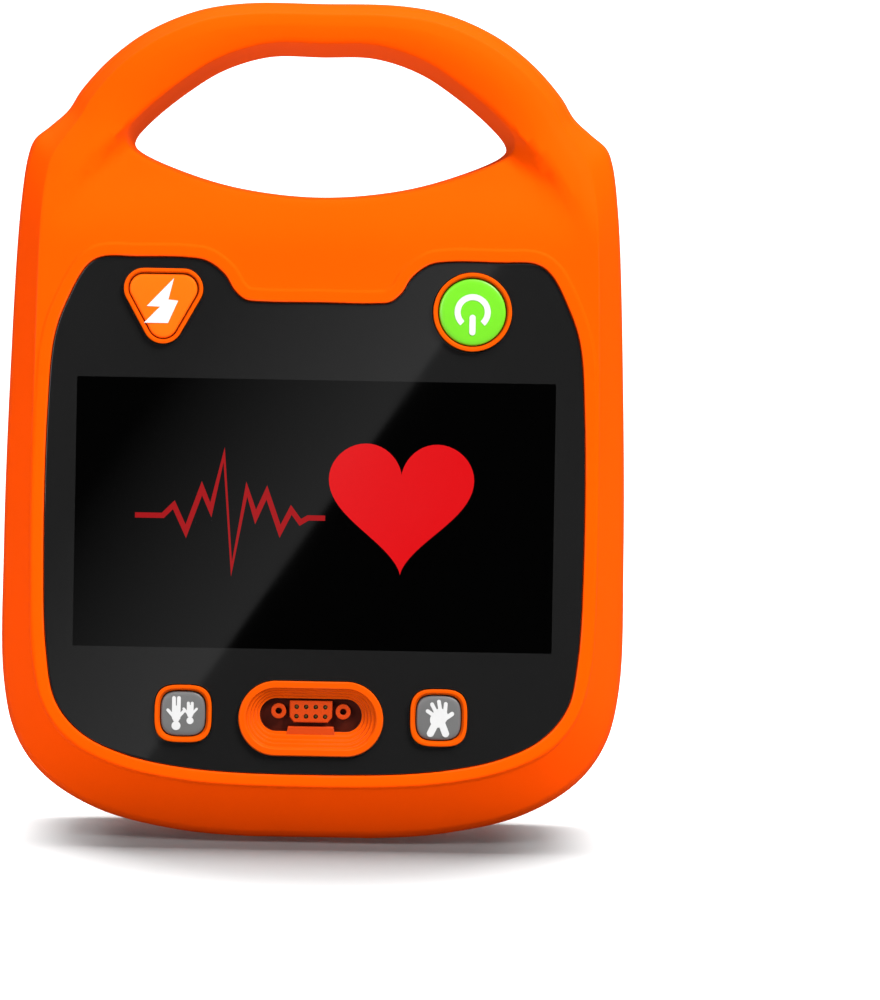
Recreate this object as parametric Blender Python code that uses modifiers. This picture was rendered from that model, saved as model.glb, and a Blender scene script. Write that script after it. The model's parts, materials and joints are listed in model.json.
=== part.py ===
"""Portable automated external defibrillator with a carrying handle, a screen, four push buttons,
a socket for the electrode pads and a battery pack that slides out of the back.

Lengths in this file are millimetres and become metres where a mesh is made. X is to the right,
Y is towards the back and Z is up. The origin is under the middle of the case, where it stands.
"""

import math

import bmesh
import bpy
import numpy as np

MM = 0.001
GAP = 0.3  # between neighbours that touch

# Depths, from the front to the back
BEZEL_FRONT = -40.0
CAP_FRONT = -39.7
RIM_FRONT = -39.2
PANEL_FRONT = -38.4
PANEL_BACK = -36.4
SEAT = -35.2  # floor of the panel's recess
WALL_BACK = -32.2
BOARD_FRONT = -27.9
PARTING = -8.0
REAR_START = PARTING + GAP
REAR_INSIDE = 33.5
REAR_FACE = 36.5
FOOT_FACE = 40.0

BOARD_THICK = 1.6
CURVE_STEPS = 2  # points in each stretch of a smooth outline
LOFT_STEPS = 4
ROUND = 16  # sides of a round piece

# Half outlines, from the middle of the top to the middle of the bottom, as (x, z)
SILHOUETTE = (
    (0, 277.7), (25.5, 277.5), (41.2, 274.9), (57.7, 267.9), (70.2, 258.6), (79.9, 247.8),
    (84.3, 240.8), (90.3, 235.3), (95.2, 231.1), (97.3, 225.9), (99.7, 207.2), (102.3, 147.6),
    (103.3, 94.4), (102.6, 51.2), (98.1, 32.3), (88.5, 19.1), (70.3, 8.2), (44.2, 1.9),
    (20, 0), (0, 0),
)
CREST = (
    (0, 271.5), (24.5, 271.2), (39, 268.8), (54.5, 262), (66, 253.5), (75, 243),
    (79, 236), (84, 229), (87.5, 223), (88.8, 217), (90.3, 200), (91.5, 147),
    (91.7, 94.4), (90.3, 60), (86.3, 44.8), (78, 33.8), (63, 26.3), (40.3, 21.7),
    (20, 20.5), (0, 20.3),
)
CAVITY = (
    (0, 205), (26, 207.5), (46, 212), (62, 218), (78, 221), (88, 218), (94.5, 205),
    (98.3, 147.6), (99.3, 94.4), (98.6, 52), (94.6, 34.6), (86, 22.6), (69, 12.2),
    (43.6, 6), (0, 4),
)
CAVITY_FRONT = (
    (0, 199), (26, 200.5), (45, 203), (60, 205.5), (74, 206), (82.5, 203), (86.5, 193),
    (88, 147), (88.2, 94.4), (87, 61.5), (83.3, 47), (75.6, 37), (61.5, 29.8),
    (39.5, 25.2), (0, 23.8),
)
HAND_OPENING = (
    (0, 259.8), (17.5, 259.6), (32.5, 254.9), (44.4, 247.4), (56.3, 237.5), (61.2, 231.8),
    (61.7, 229.5), (59.7, 227.3), (46.5, 221.4), (26.6, 215.8), (0, 213.2),
)
PANEL = (
    (0, 176.8), (18.3, 176.8), (23.6, 177.4), (27.3, 180.5), (30.3, 185.3), (36, 189.6),
    (42.5, 190.7), (58.6, 190.7), (70.2, 190.4), (74.9, 187.4), (80.7, 176.9), (84.8, 164.9),
    (86.7, 140.9), (87.2, 95.1), (85.9, 63), (82.7, 47), (74.9, 37.2), (61.5, 30.4),
    (39.1, 25.8), (0, 24.3),
)
HANDLE_CORE = ((12, 268.3), (30, 265.8), (48, 258.5), (60, 249.5), (69, 239))
HANDLE_CORE_RADIUS = 5.5
# How much wider the hand opening is at each depth, as (y, widening)
FRONT_FLARE = ((PARTING + 2, -0.3), (PARTING, 0), (-30, 4.5), (-45, 6))
REAR_FLARE = ((PARTING - 2, -0.3), (PARTING, 0), (12, 3.5), (60, 9))
# What is cut away in front of the handle and behind it, as (y, z)
FRONT_SLOPE = ((-60, 196), (RIM_FRONT, 196), (-29, 222), (-27, 290), (-60, 290))
REAR_SLOPE = ((60, 206), (REAR_FACE, 206), (13, 238), (10, 290), (60, 290))
REAR_WALL = 3.5

# Screen
SCREEN_X = 82.5
SCREEN_Z = (57.0, 157.0)
SCREEN_BACK = -31.0
BRACKET_FRONT = -30.7
BRACKET_THICK = 1.0
BRACKET_SCREWS = ((-28, 53.7), (28, 53.7), (-28, 161.5), (28, 161.5))

# Buttons: middle (x, z), the middles of the rounded corners, and the radii round those
ROUND_SHAPE = ((0, 0),)
DROP_SHAPE = ((-6.3, 5.65), (0, -5.65), (6.3, 5.65))
SQUARE_SHAPE = ((-3.25, 3.25), (-3.25, -3.25), (3.25, -3.25), (3.25, 3.25))
BUTTONS = {
    "shock": ((-50, 175), DROP_SHAPE, 6.5, 4.7),
    "power": ((50, 174.7), ROUND_SHAPE, 12.75, 10.9),
    "patient": ((-41.3, 43.4), SQUARE_SHAPE, 6.0, 4.0),
    "cpr": ((41.3, 43.4), SQUARE_SHAPE, 6.0, 4.0),
}
BUTTON_TRAVEL = 1.2
BEZEL_BACK = -31.0
CAP_SHOULDER = -34.0
DOME_BACK = -28.2

# Socket for the electrode pads
SOCKET_MIDDLE = (0, 42.4)
PILL_SHAPE = ((-11.35, 0), (11.35, 0))
PILL_RADIUS = 12.05
THROAT_RISE = 1.0  # the throat's middle above the bezel's
PIN_PITCH = 3.1
PIN_RISE = 2.1
GUIDE_X = 10.5

# Case screws, board posts and feet, as (x, z)
CASE_SCREWS = ((-88, 120), (88, 120), (-78, 202), (78, 202), (-66, 20), (66, 20))
SCREW_SEAT = 26.0
SCREW_TIP = -20.0
MAIN_POSTS = ((-74, 55), (74, 55), (-74, 162), (74, 162))
BUTTON_POSTS = ((-66, 166), (66, 166), (-24, 172), (24, 172))
SOCKET_POSTS = ((-55.5, 50), (55.5, 50), (-27, 33.5), (27, 33.5))
POWER_POSTS = ((-63, 104), (63, 106), (-63, 182), (63, 182))
FEET = ((-80, 46), (80, 46), (-77, 182), (77, 182))
FOOT_RADIUS = 6.0

# Boards
MAIN_BOARD_FRONT = -22.0
POWER_BOARD_FRONT = -12.0

# Capacitor, transformer, relay and speaker
CAPACITOR_MIDDLE = (-26, 10, 128)
CAPACITOR_RADIUS = 18.0
CAPACITOR_LENGTH = 72.0
SPEAKER_MIDDLE = (39, 172)

# Battery
BATTERY_X = 54.0
BATTERY_Z = (20.0, 96.0)
BATTERY_FRONT = 4.3
BATTERY_BACK = 38.5
BAY_WALL = 2.7
LATCH_X = 12.6
LATCH_Z = (79.4, 95.7)
LATCH_Y = (28.4, 38.2)
LATCH_FLOOR = 76.0
SPRING_RADIUS = 2.4
SPRING_WIRE = 0.4
SPRING_TURNS = 5
SPRING_Z = (76.8, 89.2)

# Colour, roughness and metallic value of each material
COLOURS = {
    "case_orange": ((0.95, 0.16, 0.005), 0.45, 0.0),
    "ring_orange": ((0.75, 0.10, 0.015), 0.4, 0.0),
    "gloss_black": ((0.012, 0.012, 0.012), 0.08, 0.0),
    "seal_grey": ((0.05, 0.05, 0.05), 0.8, 0.0),
    "glass_black": ((0.004, 0.004, 0.004), 0.1, 0.0),
    "green": ((0.22, 0.9, 0.03), 0.4, 0.0),
    "key_grey": ((0.22, 0.22, 0.22), 0.5, 0.0),
    "silicone": ((0.55, 0.56, 0.55), 0.6, 0.0),
    "board_green": ((0.02, 0.14, 0.06), 0.5, 0.0),
    "steel": ((0.55, 0.56, 0.57), 0.35, 1.0),
    "gold": ((0.85, 0.6, 0.2), 0.3, 1.0),
    "dark_plastic": ((0.03, 0.03, 0.032), 0.5, 0.0),
    "capacitor_blue": ((0.03, 0.07, 0.22), 0.35, 0.0),
    "ferrite": ((0.06, 0.055, 0.05), 0.7, 0.0),
    "film_amber": ((0.5, 0.22, 0.03), 0.3, 0.0),
    "rubber": ((0.02, 0.02, 0.02), 0.85, 0.0),
}


def clear_scene():
    for found in list(bpy.data.objects):
        bpy.data.objects.remove(found, do_unlink=True)


def make_collection(name):
    made = bpy.data.collections.new(name)
    bpy.context.scene.collection.children.link(made)
    return made


clear_scene()
PARTS = make_collection("defibrillator")
CUTTERS = make_collection("cutters")


def make_material(name):
    colour, roughness, metallic = COLOURS[name]
    made = bpy.data.materials.new(name)
    made.use_nodes = True
    shader = made.node_tree.nodes["Principled BSDF"]
    shader.inputs["Base Color"].default_value = (*colour, 1)
    shader.inputs["Roughness"].default_value = roughness
    shader.inputs["Metallic"].default_value = metallic
    return made


MATERIALS = {name: make_material(name) for name in COLOURS}


# Outlines


def smooth_outline(half, steps=CURVE_STEPS, phase=0.0):
    """A closed curve through the knots of a half outline and their mirror image, as (x, z) rows.
    It is a centripetal Catmull-Rom curve, which doesn't overshoot between close knots. A phase
    moves the points along the curve, by that share of a step."""
    right = np.array(half, float)
    left = right[-2:0:-1] * (-1, 1)
    knots = np.vstack([right, left])
    count = len(knots)
    points = []
    for i in range(count):
        p0, p1, p2, p3 = (knots[(i + k) % count] for k in (-1, 0, 1, 2))
        t1 = math.sqrt(np.linalg.norm(p1 - p0))
        t2 = t1 + math.sqrt(np.linalg.norm(p2 - p1))
        t3 = t2 + math.sqrt(np.linalg.norm(p3 - p2))
        for k in range(steps):
            t = t1 + (t2 - t1) * (k + phase) / steps
            a1 = p0 + (p1 - p0) * t / t1
            a2 = p1 + (p2 - p1) * (t - t1) / (t2 - t1)
            a3 = p2 + (p3 - p2) * (t - t2) / (t3 - t2)
            b1 = a1 + (a2 - a1) * t / t2
            b2 = a2 + (a3 - a2) * (t - t1) / (t3 - t1)
            points.append(b1 + (b2 - b1) * (t - t1) / (t2 - t1))
    return np.array(points)


def offset(points, distance):
    """A clockwise outline moved outwards by distance, or inwards if it is negative."""
    along = np.roll(points, -1, axis=0) - np.roll(points, 1, axis=0)
    along /= np.linalg.norm(along, axis=1)[:, None]
    return points + distance * np.column_stack([-along[:, 1], along[:, 0]])


def rounded_outline(middle, corners, radius, sides=ROUND):
    """An outline with an arc of this radius round each corner's middle, as (x, z) rows."""
    corners = np.array(corners, float)
    count = len(corners)
    points = []
    for i, corner in enumerate(corners):
        if count == 1:
            first, turn = 0.0, 2 * math.pi
        else:
            come = corner - corners[i - 1]
            leave = corners[(i + 1) % count] - corner
            first = math.atan2(come[1], come[0]) - math.pi / 2
            turn = (math.atan2(leave[1], leave[0]) - math.atan2(come[1], come[0])) % (2 * math.pi)
        steps = max(2, round(sides * turn / (2 * math.pi)))
        last = steps if count == 1 else steps + 1
        for k in range(last):
            angle = first + turn * k / steps
            points.append(corner + radius * np.array([math.cos(angle), math.sin(angle)]))
    return np.array(points) + middle


# Builders


def add_object(name, mesh, material, origin=(0, 0, 0), cutter=False):
    made = bpy.data.objects.new(name, mesh)
    made.location = [value * MM for value in origin]
    if cutter:
        CUTTERS.objects.link(made)
        made.hide_render = True
        made.display_type = "WIRE"
        return made
    PARTS.objects.link(made)
    mesh.materials.append(MATERIALS[material])
    return made


def from_bmesh(name, bm, material, origin=(0, 0, 0), cutter=False):
    """An object whose mesh is bm, in world millimetres, seen from the object's own origin."""
    bmesh.ops.recalc_face_normals(bm, faces=bm.faces)
    bmesh.ops.translate(bm, verts=bm.verts, vec=[-value for value in origin])
    bmesh.ops.scale(bm, verts=bm.verts, vec=(MM, MM, MM))
    mesh = bpy.data.meshes.new(name)
    bm.to_mesh(mesh)
    bm.free()
    return add_object(name, mesh, material, origin, cutter)


def add_loft(bm, rings, closed=False):
    """Faces between rings of equal length, capped at both ends unless the last joins the first."""
    rows = [[bm.verts.new(point) for point in ring] for ring in rings]
    pairs = list(zip(rows, rows[1:]))
    if closed:
        pairs.append((rows[-1], rows[0]))
    for low, high in pairs:
        for i in range(len(low)):
            k = (i + 1) % len(low)
            bm.faces.new((low[i], low[k], high[k], high[i]))
    if not closed:
        bm.faces.new(rows[0])
        bm.faces.new(rows[-1])


def at_depth(outline, y):
    return [(x, y, z) for x, z in outline]


def add_prism(bm, outline, front, back):
    add_loft(bm, [at_depth(outline, front), at_depth(outline, back)])


def add_ring_prism(bm, outer, inner, front, back):
    rings = [(outer, front), (outer, back), (inner, back), (inner, front)]
    add_loft(bm, [at_depth(outline, y) for outline, y in rings], closed=True)


def add_box(bm, x, y, z):
    """A box between the low and high value of each axis."""
    made = bmesh.ops.create_cube(bm, size=1)["verts"]
    spans = (x, y, z)
    bmesh.ops.scale(bm, verts=made, vec=[high - low for low, high in spans])
    bmesh.ops.translate(bm, verts=made, vec=[(low + high) / 2 for low, high in spans])


def add_rod(bm, middle, radius, front, back, sides=12):
    """A cylinder along Y round (x, z)."""
    add_prism(bm, rounded_outline(middle, ROUND_SHAPE, radius, sides), front, back)


def solid(name, material, add, *args, origin=(0, 0, 0), cutter=False, **kwargs):
    """One object made by one of the add functions."""
    bm = bmesh.new()
    add(bm, *args, **kwargs)
    return from_bmesh(name, bm, material, origin, cutter)


def boolean(piece, operation, other):
    modifier = piece.modifiers.new(other.name, "BOOLEAN")
    modifier.operation = operation
    modifier.solver = "EXACT"
    modifier.object = other


def cut(piece, name, add, *args, **kwargs):
    boolean(piece, "DIFFERENCE", solid(name, None, add, *args, cutter=True, **kwargs))


def join(piece, name, add, *args, **kwargs):
    boolean(piece, "UNION", solid(name, None, add, *args, cutter=True, **kwargs))


def add_rods(bm, middles, radius, front, back, sides=12):
    for middle in middles:
        add_rod(bm, middle, radius, front, back, sides)


def add_boxes(bm, boxes):
    for box in boxes:
        add_box(bm, *box)


def turned(name, material, profile, middle, front_first=True):
    """A profile of (radius, y) turned about the Y axis through middle (x, z)."""
    mesh = bpy.data.meshes.new(name)
    points = [(radius * MM, 0, -y * MM) for radius, y in profile]
    edges = [(i, i + 1) for i in range(len(points) - 1)]
    mesh.from_pydata(points, edges, [])
    made = add_object(name, mesh, material, (middle[0], 0, middle[1]))
    made.rotation_euler = (math.pi / 2, 0, 0)
    screw = made.modifiers.new("turn", "SCREW")
    screw.axis = "Z"
    screw.steps = ROUND
    screw.render_steps = ROUND
    screw.use_merge_vertices = True
    screw.merge_threshold = 0.00001
    screw.use_normal_flip = not front_first
    return made


# Case


def shell_rings(outer, inner, start, end, shares):
    """Rings that go from one outline towards another, with depth, as (depth share, outline share)."""
    first, last = smooth_outline(outer), smooth_outline(inner)
    first[:, 1] = np.maximum(first[:, 1], 0)
    rings = []
    for depth, share in shares:
        outline = first + (last - first) * share
        rings.append(at_depth(outline, start + (end - start) * depth))
    return rings


def rounded_shares():
    """A quarter of an ellipse: straight back from the parting plane, then round to the front."""
    angles = [k / LOFT_STEPS * math.pi / 2 for k in range(LOFT_STEPS + 1)]
    return [(math.sin(a), 1 - math.cos(a)) for a in angles]


def add_profile_cut(bm, profile, reach):
    """A (y, z) profile swept across X, past both sides."""
    add_loft(bm, [[(x, y, z) for y, z in profile] for x in (-reach, reach)])


def add_hand_opening(bm, flare):
    outline = smooth_outline(HAND_OPENING)
    add_loft(bm, [at_depth(offset(outline, wider), y) for y, wider in flare])


def add_handle_core(bm):
    """The hollow along the middle of the handle, as rings round a bent centre line."""
    half = np.array(HANDLE_CORE, float)
    line = np.vstack([half[::-1] * (-1, 1), half])
    rings = []
    for i, (x, z) in enumerate(line):
        ahead = line[min(i + 1, len(line) - 1)] - line[max(i - 1, 0)]
        side = np.array([-ahead[1], ahead[0]]) / np.linalg.norm(ahead)
        ring = []
        for k in range(8):
            angle = k * math.pi / 4
            shift = side * HANDLE_CORE_RADIUS * math.cos(angle)
            depth = PARTING + HANDLE_CORE_RADIUS * 1.6 * math.sin(angle)
            ring.append((x + shift[0], depth, z + shift[1]))
        rings.append(ring)
    add_loft(bm, rings)


def add_button_holes(bm, front, back):
    """The holes for every bezel and for the pad socket."""
    for middle, shape, bezel, _ in BUTTONS.values():
        add_prism(bm, rounded_outline(middle, shape, bezel + GAP), front, back)
    add_prism(bm, rounded_outline(SOCKET_MIDDLE, PILL_SHAPE, PILL_RADIUS + GAP), front, back)


def add_front_posts(bm):
    sink = WALL_BACK - 1
    add_rods(bm, MAIN_POSTS, 2.5, sink, MAIN_BOARD_FRONT - GAP, 8)
    add_rods(bm, BUTTON_POSTS + SOCKET_POSTS, 2.0, sink, BOARD_FRONT - GAP, 8)
    add_rods(bm, BRACKET_SCREWS, 2.3, sink, BRACKET_FRONT - GAP, 8)
    add_rods(bm, CASE_SCREWS, 4.2, sink, PARTING, 12)


def front_case():
    rings = shell_rings(SILHOUETTE, CREST, PARTING, RIM_FRONT, rounded_shares())
    case = solid("front_case", "case_orange", add_loft, rings)
    hollow = shell_rings(CAVITY, CAVITY_FRONT, PARTING, WALL_BACK, rounded_shares())
    hollow.insert(0, [(x, y + 2, z) for x, y, z in hollow[0]])
    cut(case, "front_hollow", add_loft, hollow)
    cut(case, "front_handle_slope", add_profile_cut, FRONT_SLOPE, 130)
    cut(case, "front_hand_opening", add_hand_opening, FRONT_FLARE)
    cut(case, "front_handle_core", add_handle_core)
    cut(case, "panel_recess", add_prism, offset(smooth_outline(PANEL), GAP), -45, SEAT)
    join(case, "front_posts", add_front_posts)
    screen = ((-SCREEN_X - GAP, SCREEN_X + GAP), (-45, -30), (SCREEN_Z[0] - GAP, SCREEN_Z[1] + GAP))
    cut(case, "screen_hole", add_box, *screen)
    cut(case, "front_button_holes", add_button_holes, -45, BOARD_FRONT - 1)
    cut(case, "front_screw_holes", add_rods, CASE_SCREWS, 1.9, SCREW_TIP - 1, 0, 8)
    cut(case, "bracket_screw_holes", add_rods, BRACKET_SCREWS, 1.1, SEAT + 0.8, -30, 8)


def bay_hollow():
    """The battery's space in the rear case, open at the back."""
    return (
        (-BATTERY_X - GAP, BATTERY_X + GAP),
        (BATTERY_FRONT - GAP, 60),
        (BATTERY_Z[0] - GAP, BATTERY_Z[1] + GAP),
    )


def rear_case():
    shares = ((0, 0), (0.81, 0), (0.93, 0.14), (1, 0.5))
    rings = shell_rings(SILHOUETTE, CREST, REAR_START, REAR_FACE, shares)
    case = solid("rear_case", "case_orange", add_loft, rings)
    shares = ((-0.05, 0), (0.8, 0), (0.94, 0.12), (1, 0.4))
    rings = shell_rings(CAVITY, CAVITY_FRONT, REAR_START, REAR_INSIDE, shares)
    hollow = solid("rear_hollow", None, add_loft, rings, cutter=True)
    inner_slope = [(y - REAR_WALL, z - REAR_WALL) for y, z in REAR_SLOPE]
    cut(hollow, "rear_hollow_slope", add_profile_cut, inner_slope, 130)
    boolean(case, "DIFFERENCE", hollow)
    cut(case, "rear_hand_opening", add_hand_opening, REAR_FLARE)
    cut(case, "rear_handle_core", add_handle_core)
    groove = [offset(smooth_outline(CAVITY, phase=0.5), edge) for edge in (2.3, 0.7)]
    cut(case, "seal_groove", add_ring_prism, *groove, REAR_START - 1, REAR_START + 1.5)
    wall = BAY_WALL + GAP
    bay = (
        (-BATTERY_X - wall, BATTERY_X + wall),
        (BATTERY_FRONT - wall, REAR_INSIDE + 1),
        (BATTERY_Z[0] - wall, BATTERY_Z[1] + wall),
    )
    join(case, "bay_walls", add_box, *bay)
    join(case, "rear_screw_posts", add_rods, CASE_SCREWS, 5.2, REAR_START, REAR_INSIDE + 1, 12)
    post_front = POWER_BOARD_FRONT + BOARD_THICK + GAP
    join(case, "power_posts", add_rods, POWER_POSTS, 2.5, post_front, REAR_INSIDE + 1, 8)
    cut(case, "rear_handle_slope", add_profile_cut, REAR_SLOPE, 130)
    cut(case, "bay_hollow", add_box, *bay_hollow())
    cut(case, "terminal_window", add_box, (-13.5, 13.5), (-2, BATTERY_FRONT + 1), (59, 69))
    cut(case, "rear_screw_holes", add_rods, CASE_SCREWS, 1.9, -12, 40, 8)
    cut(case, "rear_screw_seats", add_rods, CASE_SCREWS, 3.6, SCREW_SEAT, 50, 12)
    cut(case, "foot_seats", add_rods, FEET, FOOT_RADIUS + GAP, REAR_FACE - 1, 50, ROUND)
    x, z = SPEAKER_MIDDLE
    slots = [((x - 13, x + 13), (30, 50), (z + k * 5 - 1.1, z + k * 5 + 1.1)) for k in range(-2, 3)]
    cut(case, "speaker_slots", add_boxes, slots)


def case_seal():
    lines = [offset(smooth_outline(CAVITY, phase=0.5), edge) for edge in (2.0, 1.0)]
    solid("case_seal", "seal_grey", add_ring_prism, *lines, REAR_START, REAR_START + 1.2)


def case_fixings():
    for number, (x, z) in enumerate(CASE_SCREWS, 1):
        head = SCREW_SEAT + GAP
        profile = [(0, SCREW_TIP), (1.6, SCREW_TIP), (1.6, head), (3.2, head)]
        profile += [(3.2, head + 2.4), (1.4, head + 2.4), (1.0, head + 1.2), (0, head + 1.2)]
        turned(f"case_screw_{number}", "steel", profile, (x, z))
    for number, (x, z) in enumerate(FEET, 1):
        start = REAR_FACE - 1 + GAP
        profile = [(0, start), (FOOT_RADIUS, start), (FOOT_RADIUS, FOOT_FACE - 1)]
        profile += [(FOOT_RADIUS - 1, FOOT_FACE), (0, FOOT_FACE)]
        turned(f"rear_foot_{number}", "rubber", profile, (x, z))


# Panel and screen


def window_panel():
    outline = smooth_outline(PANEL)
    panel = solid("window_panel", "gloss_black", add_prism, outline, PANEL_FRONT, PANEL_BACK)
    cut(panel, "panel_button_holes", add_button_holes, -45, -30)
    lines = [offset(outline, edge) for edge in (-0.8, -2.4)]
    solid("window_seal", "seal_grey", add_ring_prism, *lines, PANEL_BACK + GAP, SEAT - GAP)


def display():
    z_low, z_high = SCREEN_Z
    module = solid(
        "display_module",
        "glass_black",
        add_box,
        (-SCREEN_X, SCREEN_X),
        (PANEL_BACK + GAP, SCREEN_BACK),
        (z_low, z_high),
    )
    cut(module, "driver_recess", add_box, (-60, 60), (SCREEN_BACK - 1.5, 0), (80, 134))
    plate = (BRACKET_FRONT, BRACKET_FRONT + BRACKET_THICK)
    bracket = solid("display_bracket", "steel", add_box, (-83, 83), plate, (58, 156))
    join(bracket, "bracket_tabs", add_box, (-31, 31), plate, (51.2, 164.4))
    cut(bracket, "bracket_window", add_box, (-66, 66), (-40, 0), (72, 142))
    cut(bracket, "bracket_holes", add_rods, BRACKET_SCREWS, 1.1, -40, 0, 8)
    head = BRACKET_FRONT + BRACKET_THICK + GAP
    for number, middle in enumerate(BRACKET_SCREWS, 1):
        profile = [(0, SEAT + 1.2), (0.8, SEAT + 1.2), (0.8, head), (1.8, head)]
        profile += [(1.8, head + 1.2), (0, head + 1.2)]
        turned(f"bracket_screw_{number}", "steel", profile, middle)
    display_ribbon()


def display_ribbon():
    """The flat cable from the screen's back to the main board, bent in an S."""
    bends = [(-30.4, 96), (-30.2, 88), (-29, 82), (-26.3, 79), (-23.5, 82), (-22.5, 88), (-22.5, 96)]
    bm = bmesh.new()
    rows = [[bm.verts.new((x, y, z)) for y, z in bends] for x in (-12, 12)]
    for i in range(len(bends) - 1):
        bm.faces.new((rows[0][i], rows[1][i], rows[1][i + 1], rows[0][i + 1]))
    ribbon = from_bmesh("display_ribbon", bm, "film_amber")
    thick = ribbon.modifiers.new("thickness", "SOLIDIFY")
    thick.thickness = 0.3 * MM
    thick.offset = 0


# Buttons


def ring_at(middle, shape, radius, y):
    return at_depth(rounded_outline(middle, shape, radius), y)


def button_bezel(name, middle, shape, bezel, cap):
    bore, wide = cap + GAP, cap + 1.25
    profile = [
        (bezel, RIM_FRONT), (bezel, WALL_BACK + GAP), (bezel + 1.5, WALL_BACK + GAP),
        (bezel + 1.5, BEZEL_BACK), (wide, BEZEL_BACK), (wide, CAP_SHOULDER),
        (bore, CAP_SHOULDER), (bore, BEZEL_FRONT + 0.5), (bore + 0.4, BEZEL_FRONT),
        (bezel - 0.6, BEZEL_FRONT),
    ]
    rings = [ring_at(middle, shape, radius, y) for radius, y in profile]
    solid(f"{name}_bezel", "ring_orange", add_loft, rings, closed=True)


def button_cap(name, middle, shape, cap, material):
    shoulder = CAP_SHOULDER + GAP
    flange = shoulder + BUTTON_TRAVEL
    profile = [
        (cap - 0.9, CAP_FRONT), (cap, CAP_FRONT + 0.7), (cap, shoulder),
        (cap + 0.95, shoulder), (cap + 0.95, flange),
    ]
    rings = [ring_at(middle, shape, radius, y) for radius, y in profile]
    origin = (middle[0], CAP_FRONT, middle[1])
    solid(f"{name}_button", material, add_loft, rings, origin=origin)


def button_switch(name, middle):
    """The silicone return dome, a cup open at the back, and the small switch inside it."""
    front = CAP_SHOULDER + GAP + BUTTON_TRAVEL + GAP
    profile = [
        (0, front), (4.4, front), (6.0, front + 1.6), (6.0, DOME_BACK), (5.2, DOME_BACK),
        (5.2, front + 1.9), (4.1, front + 0.8), (0, front + 0.8),
    ]
    turned(f"{name}_dome", "silicone", profile, middle)
    x, z = middle
    body = ((x - 3, x + 3), (DOME_BACK - 2.0, DOME_BACK), (z - 3, z + 3))
    switch = solid(f"{name}_switch", "steel", add_box, *body)
    join(switch, f"{name}_plunger", add_rod, middle, 1.6, DOME_BACK - 2.8, DOME_BACK - 1, 8)


def buttons():
    finish = {"shock": "ring_orange", "power": "green", "patient": "key_grey", "cpr": "key_grey"}
    for name, (middle, shape, bezel, cap) in BUTTONS.items():
        button_bezel(name, middle, shape, bezel, cap)
        button_cap(name, middle, shape, cap, finish[name])
        button_switch(name, middle)


# Pad socket


def connector_bezel():
    throat = (SOCKET_MIDDLE[0], SOCKET_MIDDLE[1] + THROAT_RISE)
    outside = [
        (PILL_RADIUS, RIM_FRONT), (PILL_RADIUS, WALL_BACK + GAP),
        (PILL_RADIUS + 1.5, WALL_BACK + GAP), (PILL_RADIUS + 1.5, BEZEL_BACK),
    ]
    inside = [(5.5, BEZEL_BACK), (5.5, -35.5), (8.0, -37.0)]
    lip = [(8.9, -38.6), (9.9, BEZEL_FRONT), (PILL_RADIUS - 0.7, BEZEL_FRONT)]
    rings = [ring_at(SOCKET_MIDDLE, PILL_SHAPE, *row) for row in outside]
    rings += [ring_at(throat, PILL_SHAPE, *row) for row in inside]
    rings += [ring_at(SOCKET_MIDDLE, PILL_SHAPE, *row) for row in lip]
    solid("connector_bezel", "ring_orange", add_loft, rings, closed=True)


def pin_middles():
    x, z = SOCKET_MIDDLE
    across = [(k - 1.5) * PIN_PITCH for k in range(4)]
    return [(x + dx, z + PIN_RISE + dz) for dz in (-PIN_PITCH / 2, PIN_PITCH / 2) for dx in across]


def connector_socket():
    x, z = SOCKET_MIDDLE
    throat = (x, z + THROAT_RISE)
    back = DOME_BACK
    base = rounded_outline(throat, PILL_SHAPE, 5.2)
    socket = solid("connector_socket", "ring_orange", add_prism, base, -33.5, back)
    block = ((x - 7, x + 7), (-37.0, -32), (z + PIN_RISE - 3.55, z + PIN_RISE + 3.55))
    join(socket, "socket_block", add_box, *block)
    guides = ((x - GUIDE_X, z + PIN_RISE), (x + GUIDE_X, z + PIN_RISE))
    join(socket, "socket_guides", add_rods, guides, 2.5, -36.2, -32)
    cut(socket, "guide_holes", add_rods, guides, 1.1, -40, -31, 8)
    cut(socket, "pin_holes", add_rods, pin_middles(), 0.85, -40, -20, 8)
    pocket = ((x - 6.6, x + 6.6), (back - 1.4, 0), (z + PIN_RISE - 3.1, z + PIN_RISE + 3.1))
    cut(socket, "socket_pocket", add_box, *pocket)
    strip = ((x - 6.2, x + 6.2), (back - 1.1, back - 0.3), (z + PIN_RISE - 2.7, z + PIN_RISE + 2.7))
    contacts = solid("connector_contacts", "gold", add_box, *strip)
    join(contacts, "contact_pins", add_rods, pin_middles(), 0.5, -36.2, back - 0.7, 6)


# Inside


def board(name, x, z, front):
    solid(name, "board_green", add_box, x, (front, front + BOARD_THICK), z)


def boards():
    board("button_board", (-69, 69), (163, 187), BOARD_FRONT)
    board("socket_board", (-59, 59), (30.5, 54.5), BOARD_FRONT)
    board("main_board", (-78, 78), (51, 166), MAIN_BOARD_FRONT)
    board("power_board", (-66.5, 66.5), (101, 186), POWER_BOARD_FRONT)


def capacitor():
    x, y, z = CAPACITOR_MIDDLE
    half = CAPACITOR_LENGTH / 2
    sides = 24
    rings = []
    for along, radius in ((-half, 0.92), (1 - half, 1), (half - 1, 1), (half, 0.92)):
        angles = [k * 2 * math.pi / sides for k in range(sides)]
        reach = CAPACITOR_RADIUS * radius
        rings.append([(x + along, y + reach * math.cos(a), z + reach * math.sin(a)) for a in angles])
    solid("energy_capacitor", "capacitor_blue", add_loft, rings)
    capacitor_strap(x, y, z)


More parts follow.
